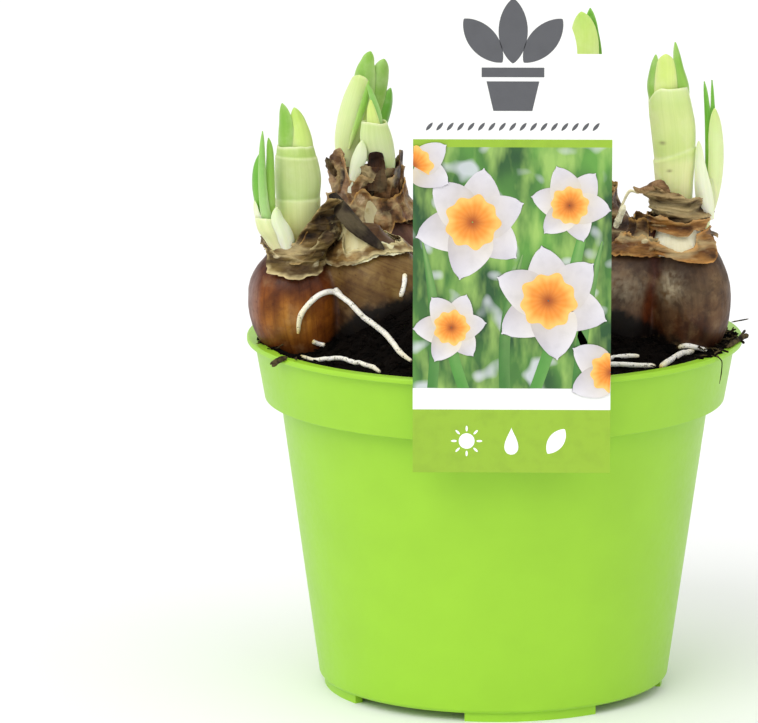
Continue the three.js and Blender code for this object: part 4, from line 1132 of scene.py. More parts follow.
def tones_along(tint, places, shares):
    """A leaf's colours from foot to tip, one row for each ring."""
    return shaded(list(zip(places, BLADE_TINTS[tint])), shares)[:, None]


def add_blade(shape, stations, tint="green", **form):
    rings, grain, along, across = blade_rings(stations, **form)
    tones = tones_along(tint, (0, 0.35, 0.75, 1), along)
    if tint not in DEAD_TINTS:
        tones = painted(tones, ("e2ecb4", 0.25 * np.abs(across) ** 4))
    shape.add_rings(rings, grain, tones)


def add_bud(shape, stations, tint="bright", steps=26, sides=32):
    """A closed bud that comes to a point."""
    rows = smooth_rows(stations, steps)
    length = np.concatenate([[0], np.cumsum(np.abs(np.diff(rows[:, 2])))])
    turn = around_axis(sides)
    rings = grid_of(rows[:, :1] + rows[:, 3:4] * np.cos(turn), rows[:, 1:2] + rows[:, 4:5] * np.sin(turn),
                    rows[:, 2:3])
    tones = tones_along(tint, (0, 0.4, 0.8, 1), length / length[-1])
    shape.add_rings(rings, grid_of(turn * 4, length[:, None], 0), tones)


def sheath_tint(tones, rings, rows, brim, lines, marks, inside):
    """A sheath's colours: by height, paler inside, at the layers' rims and round the brim, with spots."""
    level = rings[..., 2]
    layers = [("c9dc8c", 0.5 * inside)]
    for height, rise, _ in lines:
        line = height + rise * (rings[..., 0] - rows[-1, 0])
        layers.append(("eef3c6", 0.35 * np.exp(-((level - line) / 0.45) ** 2)))
    for x, height, reach in marks:
        off = ((rings[..., 0] - x) / reach) ** 2 + ((level - height) / (0.55 * reach)) ** 2
        layers.append(("6b5834", 0.75 * np.exp(-off) * (rings[..., 1] < rows[0, 1])))
    layers.append(("edf2c6", 0.6 * np.exp(-((level - brim) / 0.5) ** 2)))
    return painted(shaded(tones, level), *layers)


def add_sheath(shape, stations, tones, dip=None, lines=(), marks=(), depth=11, wall=0.5, steps=100,
               sides=72):
    """A wrapper round a shoot, open at the top. Each line is the rim of an outer layer: its height,
    its rise to the right, and how much slimmer the next layer is above it. A dip lowers the brim
    at an angle: angle, drop, spread. Marks are brown spots on the front: x, height, reach."""
    rows = smooth_rows(stations, steps)
    first = stations[0][0]
    turn = around_axis(sides)
    t = np.linspace(0, 1, steps + 1)[:, None]
    reach_x, reach_y = rows[:, 3:4] * np.cos(turn), rows[:, 4:5] * np.sin(turn)
    z = rows[:, 2:3]
    if dip:
        z = z - dip[1] * t ** 4 * np.exp(-(angle_from(np.degrees(turn), dip[0]) / dip[2]) ** 2)
    wave = lumps(grid_of(np.cos(turn), np.sin(turn), 0), 0.9, first, 2)
    z = z + 0.5 * t ** 8 * wave
    slimmer = np.zeros(z.shape)
    for height, rise, step in lines:
        slimmer += step * np.clip((z - (height + rise * reach_x + 0.35 * wave)) / 0.35, 0, 1)
    ribs = 0.012 * np.sin(turn * 23 + 1) + 0.01 * np.sin(turn * 37)
    outer = grid_of(rows[:, :1] + reach_x * (1 - (slimmer - ribs) / rows[:, 3:4]),
                    rows[:, 1:2] + reach_y * (1 - (slimmer - ribs) / rows[:, 4:5]), z)
    inward = rows[:, None, :3] - outer
    inward[..., 2] = 0
    inward = unit(inward)
    hollow = rows[:, 2] > rows[-1, 2] - depth
    inner = (outer + inward * wall)[hollow][::-1]
    crest = outer[-1] + inward[-1] * wall / 2 + np.array([0, 0, wall * 0.45])
    rings = np.concatenate([outer, [crest], inner])
    inside = (np.arange(len(rings)) >= len(outer))[:, None]
    tint = sheath_tint(tones, rings, rows, outer[-1, :, 2], lines, marks, inside)
    shape.add_rings(rings, grid_of(turn * 6, rings[..., 2], first), tint)


def sheath(tones, stations, **form):
    return add_sheath, stations, {"tones": SHEATH_TONES[tones], **form}


def blade(tint, face, thick, cup, stations, **form):
    return add_blade, stations, {"tint": tint, "face": face, "thick": thick, "cup": cup, **form}


def bud(tint, stations):
    return add_bud, stations, {"tint": tint}


# Colours of sheaths by height
SHEATH_TONES = {
    "a1": [(134, "a48a58"), (140, "cfc684"), (146, "dbe09c"), (150.8, "dde6a4"), (151.6, "c0d488"),
           (158, "c6d690"), (163.6, "c2d486"), (164.4, "b4d070"), (167.5, "bcd478")],
    "b1": [(145, "cdd79c"), (153, "dcecb0"), (166.5, "e2efba"), (168, "d4e8a4"), (176, "dff0b8"),
           (184, "e6f2c4")],
    "b2": [(146, "cdd79c"), (153, "d6e6a6"), (160, "dfecb6"), (166, "d6e8a4"), (170, "cfe296")],
    "d1": [(141, "c9a772"), (147, "e2dc9c"), (153, "e8e8ac"), (163, "e2e8a4"), (165.4, "cfdf8c"),
           (174, "d6e496"), (181, "cde08e"), (186, "d6e6a0")],
    "pale": [(134, "cfc78f"), (146, "dfe8ac"), (158, "d6e6a0"), (170, "cfe292"), (184, "c3da7c")],
}

# Sheaths, and the split flaps that are part of them. A sheath's stations are x, y, height and half
# its width and depth. A blade has its colours, the side it faces, its thickness, how far it is
# cupped, and stations of x, y, height and half its width.
SHEATHS = {
    "a1": [
        sheath("a1", [(-58.4, -11.5, 133, 4.4, 4.4), (-58.8, -11.5, 142, 6.2, 6),
              (-59.1, -11.3, 151, 6.8, 6.6), (-59.1, -11, 157.5, 7.2, 6.8), (-59.6, -11, 163.8, 6.5, 6.3),
              (-59.9, -11, 167.2, 5.9, 5.8)], lines=((151.2, 0.01, 0.25), (163.9, -0.04, 0.22))),
    ],
    "a2": [
        sheath("pale", [(-62, -18.5, 131, 3, 3), (-64.2, -20, 139, 4, 3.6), (-66.6, -21, 143, 4.1, 3.8),
              (-68.1, -21.3, 147, 3.6, 3.3)]),
        blade("cream", 12, 1.2, 0.35, [(-62, -22.2, 135, 1.7), (-62.1, -23.4, 139.5, 2.7),
              (-63.2, -24.3, 143, 2.8), (-64.7, -24.8, 147, 1.9), (-65, -24.6, 150.8, 0.3)]),
        blade("cream", -65, 1.2, 0.35, [(-65, -20, 137, 2.2), (-69.2, -20.6, 143, 2.4),
              (-71.3, -20.8, 148, 1.7), (-71.7, -20.8, 152, 0.3)]),
    ],
    "b1": [
        sheath("b1", [(-43.4, 27, 145, 4, 4), (-44.6, 27.6, 152, 4.5, 4), (-44.9, 28, 159, 4.2, 3.8)]),
        blade("pale", -22, 1.5, 0.5, [(-44.8, 24.6, 152, 3.6), (-46.2, 24.2, 161, 3.9),
              (-45.4, 24.2, 168, 4.1), (-43.6, 24.6, 175, 4), (-41.9, 25.2, 181, 2.9),
              (-41.5, 25.4, 183, 1.9)]),
        blade("pale", -110, 1.4, 0.4, [(-46.5, 29, 152, 3.4), (-47.3, 29.2, 161, 3.8),
              (-46.2, 29.4, 170, 3.4), (-44, 29.6, 178, 1.6)]),
    ],
    "b2": [
        sheath("b2", [(-32.4, 20.4, 143, 0.8, 1.2), (-32.2, 19.8, 152, 1.3, 2.2),
              (-34.4, 18.4, 157.6, 4, 4.2), (-36.1, 18, 164, 5, 4.6), (-36.8, 18, 169.6, 3.9, 4)]),
    ],
    "b3": [
        blade("cream", -10, 1, 0.2, [(-43.6, 13.6, 148.5, 1.4), (-43.3, 13.3, 152.4, 1.5),
              (-42.3, 13.2, 156.4, 2), (-41.1, 13.5, 160, 2.2), (-40.4, 14.4, 164.5, 0.3)]),
    ],
    "c1": [
        sheath("pale", [(28.9, 29.5, 140, 4.6, 4.6), (28.8, 29.8, 150, 5.6, 5.4), (28.5, 30, 162, 6.5, 6.1),
              (28.1, 30, 175, 6.2, 5.9), (27.8, 30, 185, 5.3, 5.2)], lines=((170, 0, 0.3),)),
    ],
    "c2": [
        sheath("pale", [(15.6, 37, 134, 3.4, 3.4), (14.4, 37.6, 144, 4.6, 4.5), (13.4, 38, 154, 4.9, 4.7),
              (13, 38.2, 162, 4, 3.9)]),
    ],
    "d1": [
        sheath("d1", [(54.3, -12, 141, 4.4, 4.4), (53.8, -12, 150, 5.2, 5.3), (53.5, -12, 158, 5.8, 5.8),
              (53.5, -12, 165, 6.5, 6.2), (53.1, -12, 173, 7, 6.6), (52.3, -12, 179, 6.8, 6.3),
              (51.4, -12, 185.4, 6.2, 5.7)], lines=((165, 0.32, 0.35),), dip=(186, 4.2, 34),
              marks=((49.8, 169.2, 0.8), (51.9, 160.9, 0.7))),
    ],
    "d2": [
        sheath("pale", [(61.6, -12.5, 140, 2.2, 2.8), (62.4, -12.6, 146, 2.2, 2.8),
              (63.8, -12.4, 152, 2.3, 3), (64.4, -12, 158, 2, 2.8)]),
        blade("cream", -12, 1, 0.25, [(63.6, -14.6, 145.5, 1.9), (62.8, -15.6, 150, 2.6),
              (62, -16.2, 155, 2.6), (61.3, -16.2, 160, 2), (60.8, -16, 165, 1.3),
              (60.6, -15.6, 169.6, 0.4)]),
        blade("pale", 16, 1.2, 0.3, [(63.9, -13.6, 146, 1.1), (65, -13.9, 151.4, 1.8),
              (65.8, -14.2, 158, 2.3), (66.1, -14.2, 165, 2.4), (65.8, -14, 172.4, 2.1),
              (65.3, -13.8, 179.2, 0.4)]),
    ],
}

# Leaf bundles: the bud in the middle and the leaves that press round it, with stations as above
LEAVES = {
    "a1": [
        bud("bright", [(-59.5, -11, 156, 3.2, 3), (-59.6, -11, 163, 3.6, 3.4), (-59.9, -11, 171, 2.5, 2.2),
              (-60.2, -11, 175.5, 0.6, 0.6)]),
        blade("green", -28, 1.4, 0.3, [(-61.4, -12.8, 157, 2.1), (-62.3, -13.1, 163, 2.5),
              (-62.8, -13.4, 168, 2.9), (-62.9, -13.3, 174.5, 2.3), (-63.7, -13, 180.2, 0.3)]),
        blade("bright", 22, 1.7, 0.4, [(-57.4, -13.6, 157, 2.6), (-57.2, -14, 163, 3.1),
              (-57.3, -13.9, 168, 3.5), (-58.5, -13.3, 174, 2.5), (-60.1, -12.8, 178.9, 0.3)]),
        blade("green", 178, 1.6, 0.45, [(-59.6, -8.6, 157, 3), (-59.7, -8.2, 163, 3.8),
              (-59.8, -8, 168, 3.9), (-60, -8.8, 177.4, 0.3)]),
    ],
    "a2": [
        blade("dark", -54, 1.5, 0.3, [(-64.4, -19.6, 138, 2.2), (-69, -19.4, 146, 2.7),
              (-71.1, -19.2, 154, 3.1), (-71.3, -19.2, 160.5, 2.5), (-70.2, -19.4, 165.8, 0.3)]),
        blade("blue", -4, 1.6, 0.2, [(-64.3, -21.4, 138, 1.9), (-68, -22.6, 147, 1.6),
              (-69.2, -22.8, 156, 1.3), (-69.4, -22.4, 165, 1), (-69.2, -22, 173.2, 0.3)]),
        blade("green", 14, 1.7, 0.2, [(-63.9, -20, 138, 2.2), (-66.6, -20.8, 147, 1.7),
              (-67, -20.8, 156, 1.5), (-67, -20.4, 166, 1.1), (-67.5, -20.2, 170.9, 0.3)]),
    ],
    "b1": [
        bud("bright", [(-43.4, 28, 155, 2.8, 2.6), (-42, 28.2, 164, 3.4, 3), (-39.6, 28.4, 176, 2.2, 2),
              (-38.8, 28.4, 181, 0.6, 0.6)]),
        blade("green", -12, 1.5, 0.3, [(-43.2, 27.2, 156, 2), (-42.2, 27.2, 164, 2.9),
              (-40.8, 27.4, 175, 3.5), (-40, 27.6, 182.5, 3.3), (-39.1, 27.8, 186.8, 2.1),
              (-38.1, 27.8, 189.9, 0.4)]),
        blade("green", 14, 1.6, 0.3, [(-41.8, 28, 156, 2.2), (-39.4, 28.4, 165, 3.2),
              (-36.6, 28.8, 176, 3.3), (-35, 29, 183, 2.7), (-34, 29.2, 187.4, 0.4)]),
        blade("green", -4, 0.9, 0.2, [(-44.6, 22.8, 160.6, 0.4), (-43.4, 22.4, 164.5, 0.8),
              (-41.6, 22.2, 170, 1), (-39.6, 22.6, 176, 1.1), (-38.5, 23.6, 181.6, 0.3)]),
        blade("dark", 40, 1.4, 0.3, [(-40.2, 30, 156, 2), (-36.3, 30.8, 163, 2.7),
              (-33.4, 31.2, 171.6, 2.7), (-32.1, 31.4, 178.1, 0.4)]),
        blade("green", 168, 1.5, 0.4, [(-42.6, 31, 156, 2.6), (-41, 32, 164, 3.4), (-39, 32, 175, 3),
              (-37.4, 31.4, 184.5, 0.3)]),
    ],
    "b2": [
        bud("yellow", [(-36.1, 18, 161, 2.6, 2.4), (-36.8, 17.9, 167.5, 2.2, 2.2),
              (-37.6, 17.8, 173, 1.4, 1.3), (-37.9, 17.8, 176.4, 0.35, 0.35)]),
        blade("blue", 8, 1.2, 0.2, [(-35.6, 18.4, 162, 1.1), (-35.3, 18.8, 167, 1.2), (-36, 19.8, 172, 1.3),
              (-37.8, 21, 178, 0.8), (-39, 21.4, 180.8, 0.3)]),
    ],
    "c1": [
        bud("bright", [(28, 30, 175, 3, 2.8), (27.9, 30, 183, 3.6, 3.3), (27.6, 30, 193, 2.3, 2),
              (27.4, 30, 197.5, 0.6, 0.6)]),
        blade("bright", -6, 1.5, 0.4, [(27.8, 27.8, 176, 3.2), (27.4, 27.2, 183, 4.1),
              (26.9, 27.2, 189, 4.5), (26.7, 27.8, 196, 3.9), (26, 28.4, 202.2, 0.3)]),
        blade("dark", 164, 1.5, 0.4, [(28.6, 32, 176, 3), (28.9, 32.6, 183, 3.7), (29.4, 33, 189, 3.6),
              (29.4, 32.6, 196, 2.2), (28.8, 32, 202.8, 0.3)]),
    ],
    "c2": [
        bud("bright", [(13.3, 38, 154, 2.2, 2.2), (13.1, 38.1, 160, 2.2, 2.2), (13, 38.2, 166, 1.6, 1.6),
              (13, 38.2, 169, 0.5, 0.5)]),
        blade("green", 38, 1.4, 0.35, [(14.5, 36.9, 155, 1.7), (14.5, 36.7, 161, 2), (14.2, 36.8, 166, 1.9),
              (13.8, 37, 172.4, 0.3)]),
        blade("green", 205, 1.4, 0.35, [(12.4, 39.4, 155, 1.8), (12.1, 39.8, 161, 2.1),
              (12, 40.2, 167, 1.9), (12.4, 39.8, 174.6, 0.3)]),
    ],
    "d1": [
        bud("bright", [(52.4, -12, 173, 3.4, 3.2), (51.7, -12, 182, 3.7, 3.4), (51, -12.2, 190, 2.5, 2.2),
              (50.6, -12.3, 194, 0.6, 0.6)]),
        blade("green", -50, 1.5, 0.35, [(49.3, -12.3, 174, 2.3), (47.6, -12.5, 179.5, 2.7),
              (46.5, -12.8, 185, 3), (46.8, -13, 190.5, 1.9), (47.7, -13, 195.2, 0.3)]),
        blade("yellow", 2, 1.6, 0.4, [(51.9, -14.8, 174, 3.1), (51.1, -15, 181, 3.6),
              (50.8, -15.2, 186, 3.7), (50.7, -14.8, 192.4, 2.8), (50.6, -14.4, 195.6, 0.5)]),
        blade("green", 38, 1.5, 0.35, [(55.7, -12.5, 174, 2.2), (56.1, -12.7, 180, 2.6),
              (56.1, -12.9, 185, 2.8), (54.9, -13.2, 191, 1.8), (53.4, -13.4, 199, 0.3)]),
        blade("green", 180, 1.5, 0.45, [(52.4, -9.4, 174, 3), (51.9, -8.9, 180, 3.4),
              (51.6, -8.6, 186, 3.2), (51.2, -9.4, 193.6, 0.3)]),
    ],
    "d2": [
        blade("dark", -20, 1.6, 0.2, [(64.2, -11.8, 150, 1.3), (64, -11.6, 162, 1.4),
              (63.6, -11.6, 173, 1.2), (62.9, -11.8, 181, 0.8), (62.2, -12, 187, 0.3)]),
        blade("dark", 18, 1.6, 0.2, [(64.6, -11.6, 150, 1.3), (64.9, -11.4, 162, 1.3),
              (65, -11.4, 173, 1.1), (64.8, -11.6, 181, 0.6), (64.5, -11.8, 187.4, 0.3)]),
    ],
}


def made_of(pieces, name, finish, sharp):
    """One mesh of sheaths, blades and buds."""
    shape = Shape()
    for maker, stations, form in pieces:
        maker(shape, stations, **form)
    return shape.made(name, finish, sharp)


def make_shoots():
    skin = living_finish("sheath_skin", 2.6, 0.3, 0.4)
    green = living_finish("leaf_skin", 3.0, 0.2, 0.38)
    for name, pieces in LEAVES.items():
        place(made_of(pieces, f"leaves_{name}_blades", green, 80), "leaf", f"leaves_{name}")
    for name, pieces in SHEATHS.items():
        place(made_of(pieces, f"sheath_{name}_layers", skin, 80), "sheath", f"sheath_{name}")


# Collars of papery skins, by bulb and lobe: the half width and depth of the throat they close
# round, how far it is shifted, the heights where they leave the bulb and where they stand free, and
# the layers from the inside out. Angles go round from +X, so -90 is the front.
COLLARS = {
    "a": [
        {"lobe": 0, "throat": (11.6, 10.4), "shift": (2.3, 0),
         "skirt": around(133, [(-95, -3, 45), (178, 3, 35), (90, -3, 40), (-20, 2, 30)]),
         "rim": around(138.6, [(-26, 12, 33), (20, 11, 30), (70, 4, 30), (165, 1.5, 30)]),
         "skins": [
             skin(0.35, [(-160, 137), (-100, 133), (-30, 134), (60, 133), (150, 135)], [(-170, 139),
                  (-115, 137.5), (-95, 138), (-60, 149), (-30, 151), (20, 149), (70, 142), (150, 140)],
                  "6f5b34", shade="3a2b18", facets=1, wrinkle=(0.7, 1.8)),
             skin(0.9, [(-164, 139.4), (-127, 134.5), (-103, 133.2), (-82, 134.4), (-60, 138), (-40, 141),
                  (30, 138), (90, 134), (150, 138)], [(-164, 140.6), (-114, 138.6), (-98, 139.4),
                  (-85, 143.6), (-63, 149.6), (-45, 152.6), (0, 150), (60, 142), (120, 140)], "8a703f",
                  shade="4a371d", edge="b59c66", crumple=1.2, flare=0.7, facets=1.1, wrinkle=(0.7, 1.8),
                  # The patch at -30 is painted shadow under the dry scale.
                  patches=((-56, 146.5, 16, 5, "4d3b22"), (-30, 145, 14, 7, "2a1d12"))),
             skin(1.4, [(-160, 138.6), (-143, 135.1), (-124, 131.2), (-105, 130.2), (-80, 129.4),
                  (-58, 130.4), (-40, 132.4), (0, 135), (90, 130), (160, 137.5)], [(-158, 139.8),
                  (-130, 136.6), (-103, 135.8), (-82, 137.2), (-65, 140.5), (-42, 144.5), (0, 146),
                  (90, 137), (170, 139.6)], "97804a", shade="4f3b20", edge="dccb96", crumple=1.1, facets=1,
                  wrinkle=(0.7, 1.8), patches=((-58, 133.6, 11, 1.1, "ece6bd"),
                  # Painted highlights on the thin pale cream edge at the left:
                  (-152, 139, 8, 0.8, "ece6bd"), (-128, 135.4, 8, 0.6, "e4dab0"),
                  # Painted shadow under the dry scale:
                  (-45, 141.5, 14, 3, "54402a"), (-24, 141, 14, 4, "2e2014"))),
         ]},
        {"lobe": 1, "throat": (7, 7), "shift": (0, 0),
         "skirt": around(134.5, [(-130, -2, 40), (0, 1.5, 40), (90, -1, 40)]),
         "rim": around(144, [(180, 3, 50), (0, -1, 50)]),
         "skins": [
             skin(0.6, [(-130, 132.5), (-60, 136), (60, 135)], [(-90, 142.4), (-66, 140), (-40, 138),
                  (0, 137.6), (90, 140), (180, 148)], "e6dfae", shade="c9b984", edge="f1ecc4", fresh=True),
             skin(1.3, [(-126, 132.6), (-108, 134.2), (-86, 136), (-60, 136.4), (-18, 136.2), (90, 135),
                  (180, 133)], [(-150, 143), (-130, 140), (-116, 136.9), (-100, 137.6), (-80, 139.8),
                  (-58, 139), (-30, 138.6), (0, 138.8), (90, 141), (180, 147)], "95753f", shade="5c4324",
                  edge="e3d6a0", facets=1),
         ]},
    ],
    "b": [
        {"lobe": 0, "throat": (10.6, 10.4), "shift": (1.3, -1.6),
         "skirt": around(136, [(-100, -4, 35), (-25, 3.5, 35), (90, -3, 50)]),
         "rim": around(151.5, [(190, 7, 24), (-12, 7.5, 18), (70, 4, 30), (-75, -1.5, 25)]),
         "skins": [
             skin(0.3, [(-120, 134), (-60, 140), (60, 134)], [(-150, 156), (-110, 156), (-92, 157),
                  (-56, 156), (-38, 155.4), (-16, 156), (-9, 161.2), (10, 160), (60, 154), (180, 157)],
                  "5e4029", shade="2c1b10", edge="6e4a2c"),
             skin(0.9, [(-150, 142), (-120, 138), (-95, 134.5), (-72, 137), (-58, 140.5), (-25, 140),
                  (80, 134)], [(-178, 158), (-150, 160), (-132, 160.5), (-121, 152.4), (-112, 152),
                  (-104, 154), (-90, 153.6), (-78, 152.4), (-45, 152.6), (-25, 154), (-6, 156), (40, 152),
                  (120, 155)], "ad8459", shade="6b4a2c", edge="dcb27a", crumple=1.3, flare=0.4, facets=1.8,
                  patches=((-66, 150.6, 17, 2, "a99c74"), (-98, 149, 9, 3.4, "c9a583"))),
             skin(1.5, [(-140, 139), (-110, 133.6), (-88, 132.1), (-72, 135), (-60, 140), (-25, 139.6),
                  (10, 136), (90, 133)], [(-160, 147), (-123, 144.6), (-108, 148.6), (-94, 149.8),
                  (-84, 147.4), (-60, 147), (-30, 147.4), (-14, 149), (0, 152), (20, 147), (90, 146)],
                  "9e754a", shade="5f3f24", edge="d9a75e", crumple=1.3, flare=0.9, facets=1.8,
                  # The first patch is a painted glint, the second painted shade under the lip.
                  patches=((-101, 147, 8, 1.6, "dcc3a0"), (-66, 143.6, 15, 1.8, "3a2413"),
                  (-103, 141.5, 12, 4, "b9a57a"), (-30, 141, 12, 2, "86604a"))),
         ]},
    ],
    "c": [
        {"lobe": 0, "throat": (8.8, 8.6), "shift": (0, 0),
         "skirt": around(133, [(-90, -3, 40), (90, -3, 50)]),
         "rim": around(147.5, [(200, 5, 24), (60, 4, 20), (-30, 2.5, 24)]),
         "skins": [
             skin(0.4, [(-90, 132), (90, 132)], [(-90, 146), (60, 150), (200, 151)], "6b5038",
                  shade="33231a"),
             skin(1.3, [(-90, 130.5), (0, 133), (90, 130.5), (180, 133)], [(-90, 144), (-30, 148),
                  (60, 147), (130, 143), (200, 150)], "7c5d42", shade="4a3424", edge="cfa672", crumple=1.2,
                  facets=1.2),
         ]},
    ],
    "d": [
        {"lobe": 0, "throat": (8.7, 9), "shift": (-0.5, 0),
         "skirt": around(132.2, [(-90, -1, 40), (90, -2, 40)]),
         "rim": around(149, [(185, 7, 26), (-70, 3, 28), (90, 3, 30)]),
         "skins": [
             skin(0.1, [(-90, 136), (90, 137)], [(-90, 145), (90, 146)], "f6f2d8", shade="ece4c0",
                  edge="f6f2d8", crumple=0.25, facets=0.2, fresh=True),
             skin(1.2, [(-175, 142), (-137, 144.4), (-110, 144), (-65, 143.6), (-35, 143), (-5, 140),
                  (90, 138), (150, 139)], [(-178, 152.4), (-150, 155.6), (-137, 157), (-122, 155.6),
                  (-110, 154.4), (-91, 155), (-73, 153.2), (-52, 152.8), (-35, 152), (-22, 150), (0, 149),
                  (90, 150)], "a88f62", shade="3f2d1c", edge="b89a6c", wrinkle=(0.4, 2.8), rows=44,
                  crumple=1.7, flare=0.3, low_tear=0.5, facets=1.2),
             skin(1.5, [(-175, 141), (-162, 141.4), (-137, 143.3), (-112, 142.3), (-92, 141.6),
                  (-76, 141.8), (-58, 143.3), (-20, 142.6), (90, 141)], [(-170, 147.4), (-109, 147),
                  (-73, 146), (-20, 147), (0, 148), (90, 146)], "b98545", shade="7a4f26", edge="d3a468",
                  wrinkle=(0.35, 2.6), low_tear=0.4, kick=0.05, facets=0.7),
             skin(1.4, [(179, 134.8), (-154, 136.2), (-121, 136.4), (-98, 135.2), (-75, 134.3), (-49, 134),
                  (-34, 135.4), (-18, 138.6), (10, 140), (50, 137), (90, 131)], [(-178, 141.6),
                  (-162, 141.2), (-147, 140.2), (-116, 138.8), (-92, 137.2), (-72, 138.5), (-63, 139.7),
                  (-57, 142.2), (-47, 142.6), (-10, 143), (20, 143.5), (90, 137)], "a0723a", shade="653f1e",
                  edge="cf9650", wrinkle=(0.4, 2.2), low_tear=0.5, high_tear=0.5, kick=0.05, flare=0.1),
         ]},
        {"lobe": 1, "throat": (5.4, 6.4), "shift": (0, 0),
         "skirt": around(131.4, [(-90, -1, 40), (180, 1.5, 30), (90, -2, 40)]),
         "rim": around(145.5, [(180, 1, 40), (0, 3, 50)]),
         "skins": [
             skin(0.5, [(-90, 136), (90, 133), (180, 135)], [(-110, 146.4), (-96, 146), (-87, 141.6),
                  (-60, 140), (-30, 139.6), (10, 140), (60, 146), (180, 146)], "7c5d38", shade="443020",
                  facets=0.9),
             skin(1.35, [(-130, 135.6), (-90, 135.8), (-55, 135.6), (0, 134), (90, 131), (180, 134)],
                  [(-150, 141.5), (-105, 141.6), (-80, 140), (-50, 139.4), (0, 139), (90, 139), (180, 141)],
                  "a0723a", shade="653f1e", edge="d09a54", wrinkle=(0.5, 2.2), kick=0.05,
                  patches=((-92, 140, 9, 0.8, "ece6bd"),)),
         ]},
    ],
}

# Loose pieces of skin that stand away from a collar
SCRAPS = {
    "b": [
        blade("torn", -20, 0.7, 0.3, [(-47.6, 18.4, 148, 2.2), (-48.8, 17.4, 153, 2.6),
              (-48.4, 17, 157.5, 2.8), (-47.2, 17, 161.8, 0.9)], ruffle=0.25, seed=3),
    ],
    "d": [
        blade("torn", -10, 0.6, 0.2, [(50.8, -17.2, 153, 2.2), (49, -17.6, 156, 1.8),
              (46.8, -17.6, 156.2, 1), (44.4, -17.4, 155, 0.8), (42.6, -17.2, 154.8, 0.6),
              (41.2, -17, 156, 0.3)], ruffle=0.7, seed=6),
    ],
}

# Strips of fresh scale that hang in a tear
STRIPS = {
    "b": [
        blade("waxen", -4, 0.6, 0.12, [(-38.2, 9.6, 146.8, 0.4), (-37.8, 9.2, 144.8, 1.6),
              (-37.2, 8.8, 141.6, 2.4), (-35.9, 8, 137.6, 1.9), (-34.1, 7.2, 132.8, 0.3)], ruffle=0.1,
              seed=4),
    ],
}

# Dark, dead pieces
DARK_SCRAPS = {
    "b": [
        blade("umber", -6, 0.6, 0.2, [(-35.9, 11.4, 149.6, 3), (-36, 12, 154, 2.8), (-36.2, 12.7, 159, 2.4),
              (-36.2, 12.8, 160.6, 2.1), (-36.2, 12.9, 161.4, 0.5)], ruffle=0.2, seed=9),
        blade("umber", -20, 0.6, 0.3, [(-48.4, 16.9, 153.2, 0.6), (-50, 16.6, 155.4, 1.3),
              (-50.9, 16.6, 157.4, 1), (-51.3, 16.8, 159, 0.3)], ruffle=0.5, seed=12),
    ],
}

DRY_SCALE = blade("dry", 24, 0.9, 0.25, [(-48.6, -15.4, 153.4, 1.4), (-46.2, -18, 149.8, 2.5),
    (-42.2, -21, 145.2, 2.5), (-37.6, -22.6, 141.4, 1.8), (-32.9, -24, 138, 0.4)], ruffle=0.1, seed=2)


def make_tunics():
    wrinkled = paper_finish("tunic_paper", 0.5, (0.45, 0.45, 1.5))
    crumpled = paper_finish("tunic_crumpled", 0.4, (1, 1, 1), gloss=0.5)
    dark = paper_finish("dry_scale_paper", 0.8, (0.7, 0.7, 0.7), (1.8, 0.12, 1), 0.0, 0.2)
    flesh = flesh_finish()
    made = []
    for number, (name, collars) in enumerate(COLLARS.items()):
        shape, fresh = Shape(), Shape()
        for collar in collars:
            lobe = BULBS[name][collar["lobe"]]
            for layer, skin in enumerate(collar["skins"]):
                seed = 11.0 * number + 3.7 * layer + 1.3 * collar["lobe"] + 1
                add_skin(fresh if "fresh" in skin else shape, lobe, collar, skin, seed)
        for target, pieces in ((shape, SCRAPS), (fresh, STRIPS)):
            for maker, stations, form in pieces.get(name, ()):
                maker(target, stations, **form)
        paper = crumpled if name == "b" else wrinkled
        made.append(place(shape.made(f"tunic_{name}_skins", paper, 55), "tunic", f"tunic_{name}"))
        if fresh.points:
            made.append(place(fresh.made(f"tunic_{name}_fresh", flesh, 55), "tunic"))
        if name in DARK_SCRAPS:
            place(made_of(DARK_SCRAPS[name], f"tunic_{name}_dead", dark, 55), "tunic")
    place(made_of([DRY_SCALE], "dry_scale_flap", dark, 55), "dry_scale", "dry_scale")
    return made


# Roots that lie on bulbs and compost: radius, and points as x and height where the line of sight
# from the viewpoint to the root crosses the sighting plane
SIGHTED_ROOTS = {
    "root_arched": (0.85, [
        (-57, 122.7), (-56.4, 127.7), (-53.5, 131.8), (-50.1, 134.3), (-45.5, 134.6), (-41.2, 131.2),
        (-36, 126.2), (-31.2, 121.5), (-27.1, 116.5), (-24, 113.9)]),
    "root_rim_left": (0.7, [
        (-56.1, 115.2), (-52.1, 113.8), (-48.1, 114.3), (-45, 114.6), (-40, 113.3), (-36, 112.2),
        (-33.2, 110.6)]),
    "root_short_left": (0.7, [(-53, 120.3), (-51, 119.4), (-49, 118.6)]),
    "root_upright": (0.7, [(-26.3, 139.8), (-26.5, 136.8), (-27.4, 133.3)]),
    "root_arched_right": (0.75, [(53.4, 118.9), (56, 119.5), (59.4, 118.7), (62.6, 116.8)]),
    "root_slanted_right": (0.9, [(48.1, 112.1), (50.6, 113.9), (53, 115.6), (57.5, 118.1)]),
    "root_low_right": (0.75, [(28, 112.4), (33.7, 113.1), (41.5, 112.8), (46.6, 112.6)]),
    "root_high_right": (0.65, [(27, 114.4), (33.7, 115.1), (38, 115.7), (41.7, 115.8)]),
}

# Roots on the compost behind the bulbs: radius, and points as x and y
BACK_ROOTS = {
    "root_back_left": (0.75, [(-8, 20), (-4, 28), (-3, 38), (-6, 48), (-4, 57)]),
    "root_back_right": (0.7, [(40, 44), (47, 38), (53, 29), (55, 18), (52, 10)]),
}

# The broken stub on the arched root, sighted at the depth of one of its points
STUB = [(-46.6, 135.6), (-45.2, 134.4), (-43.6, 132.8)]
STUB_AT = 4


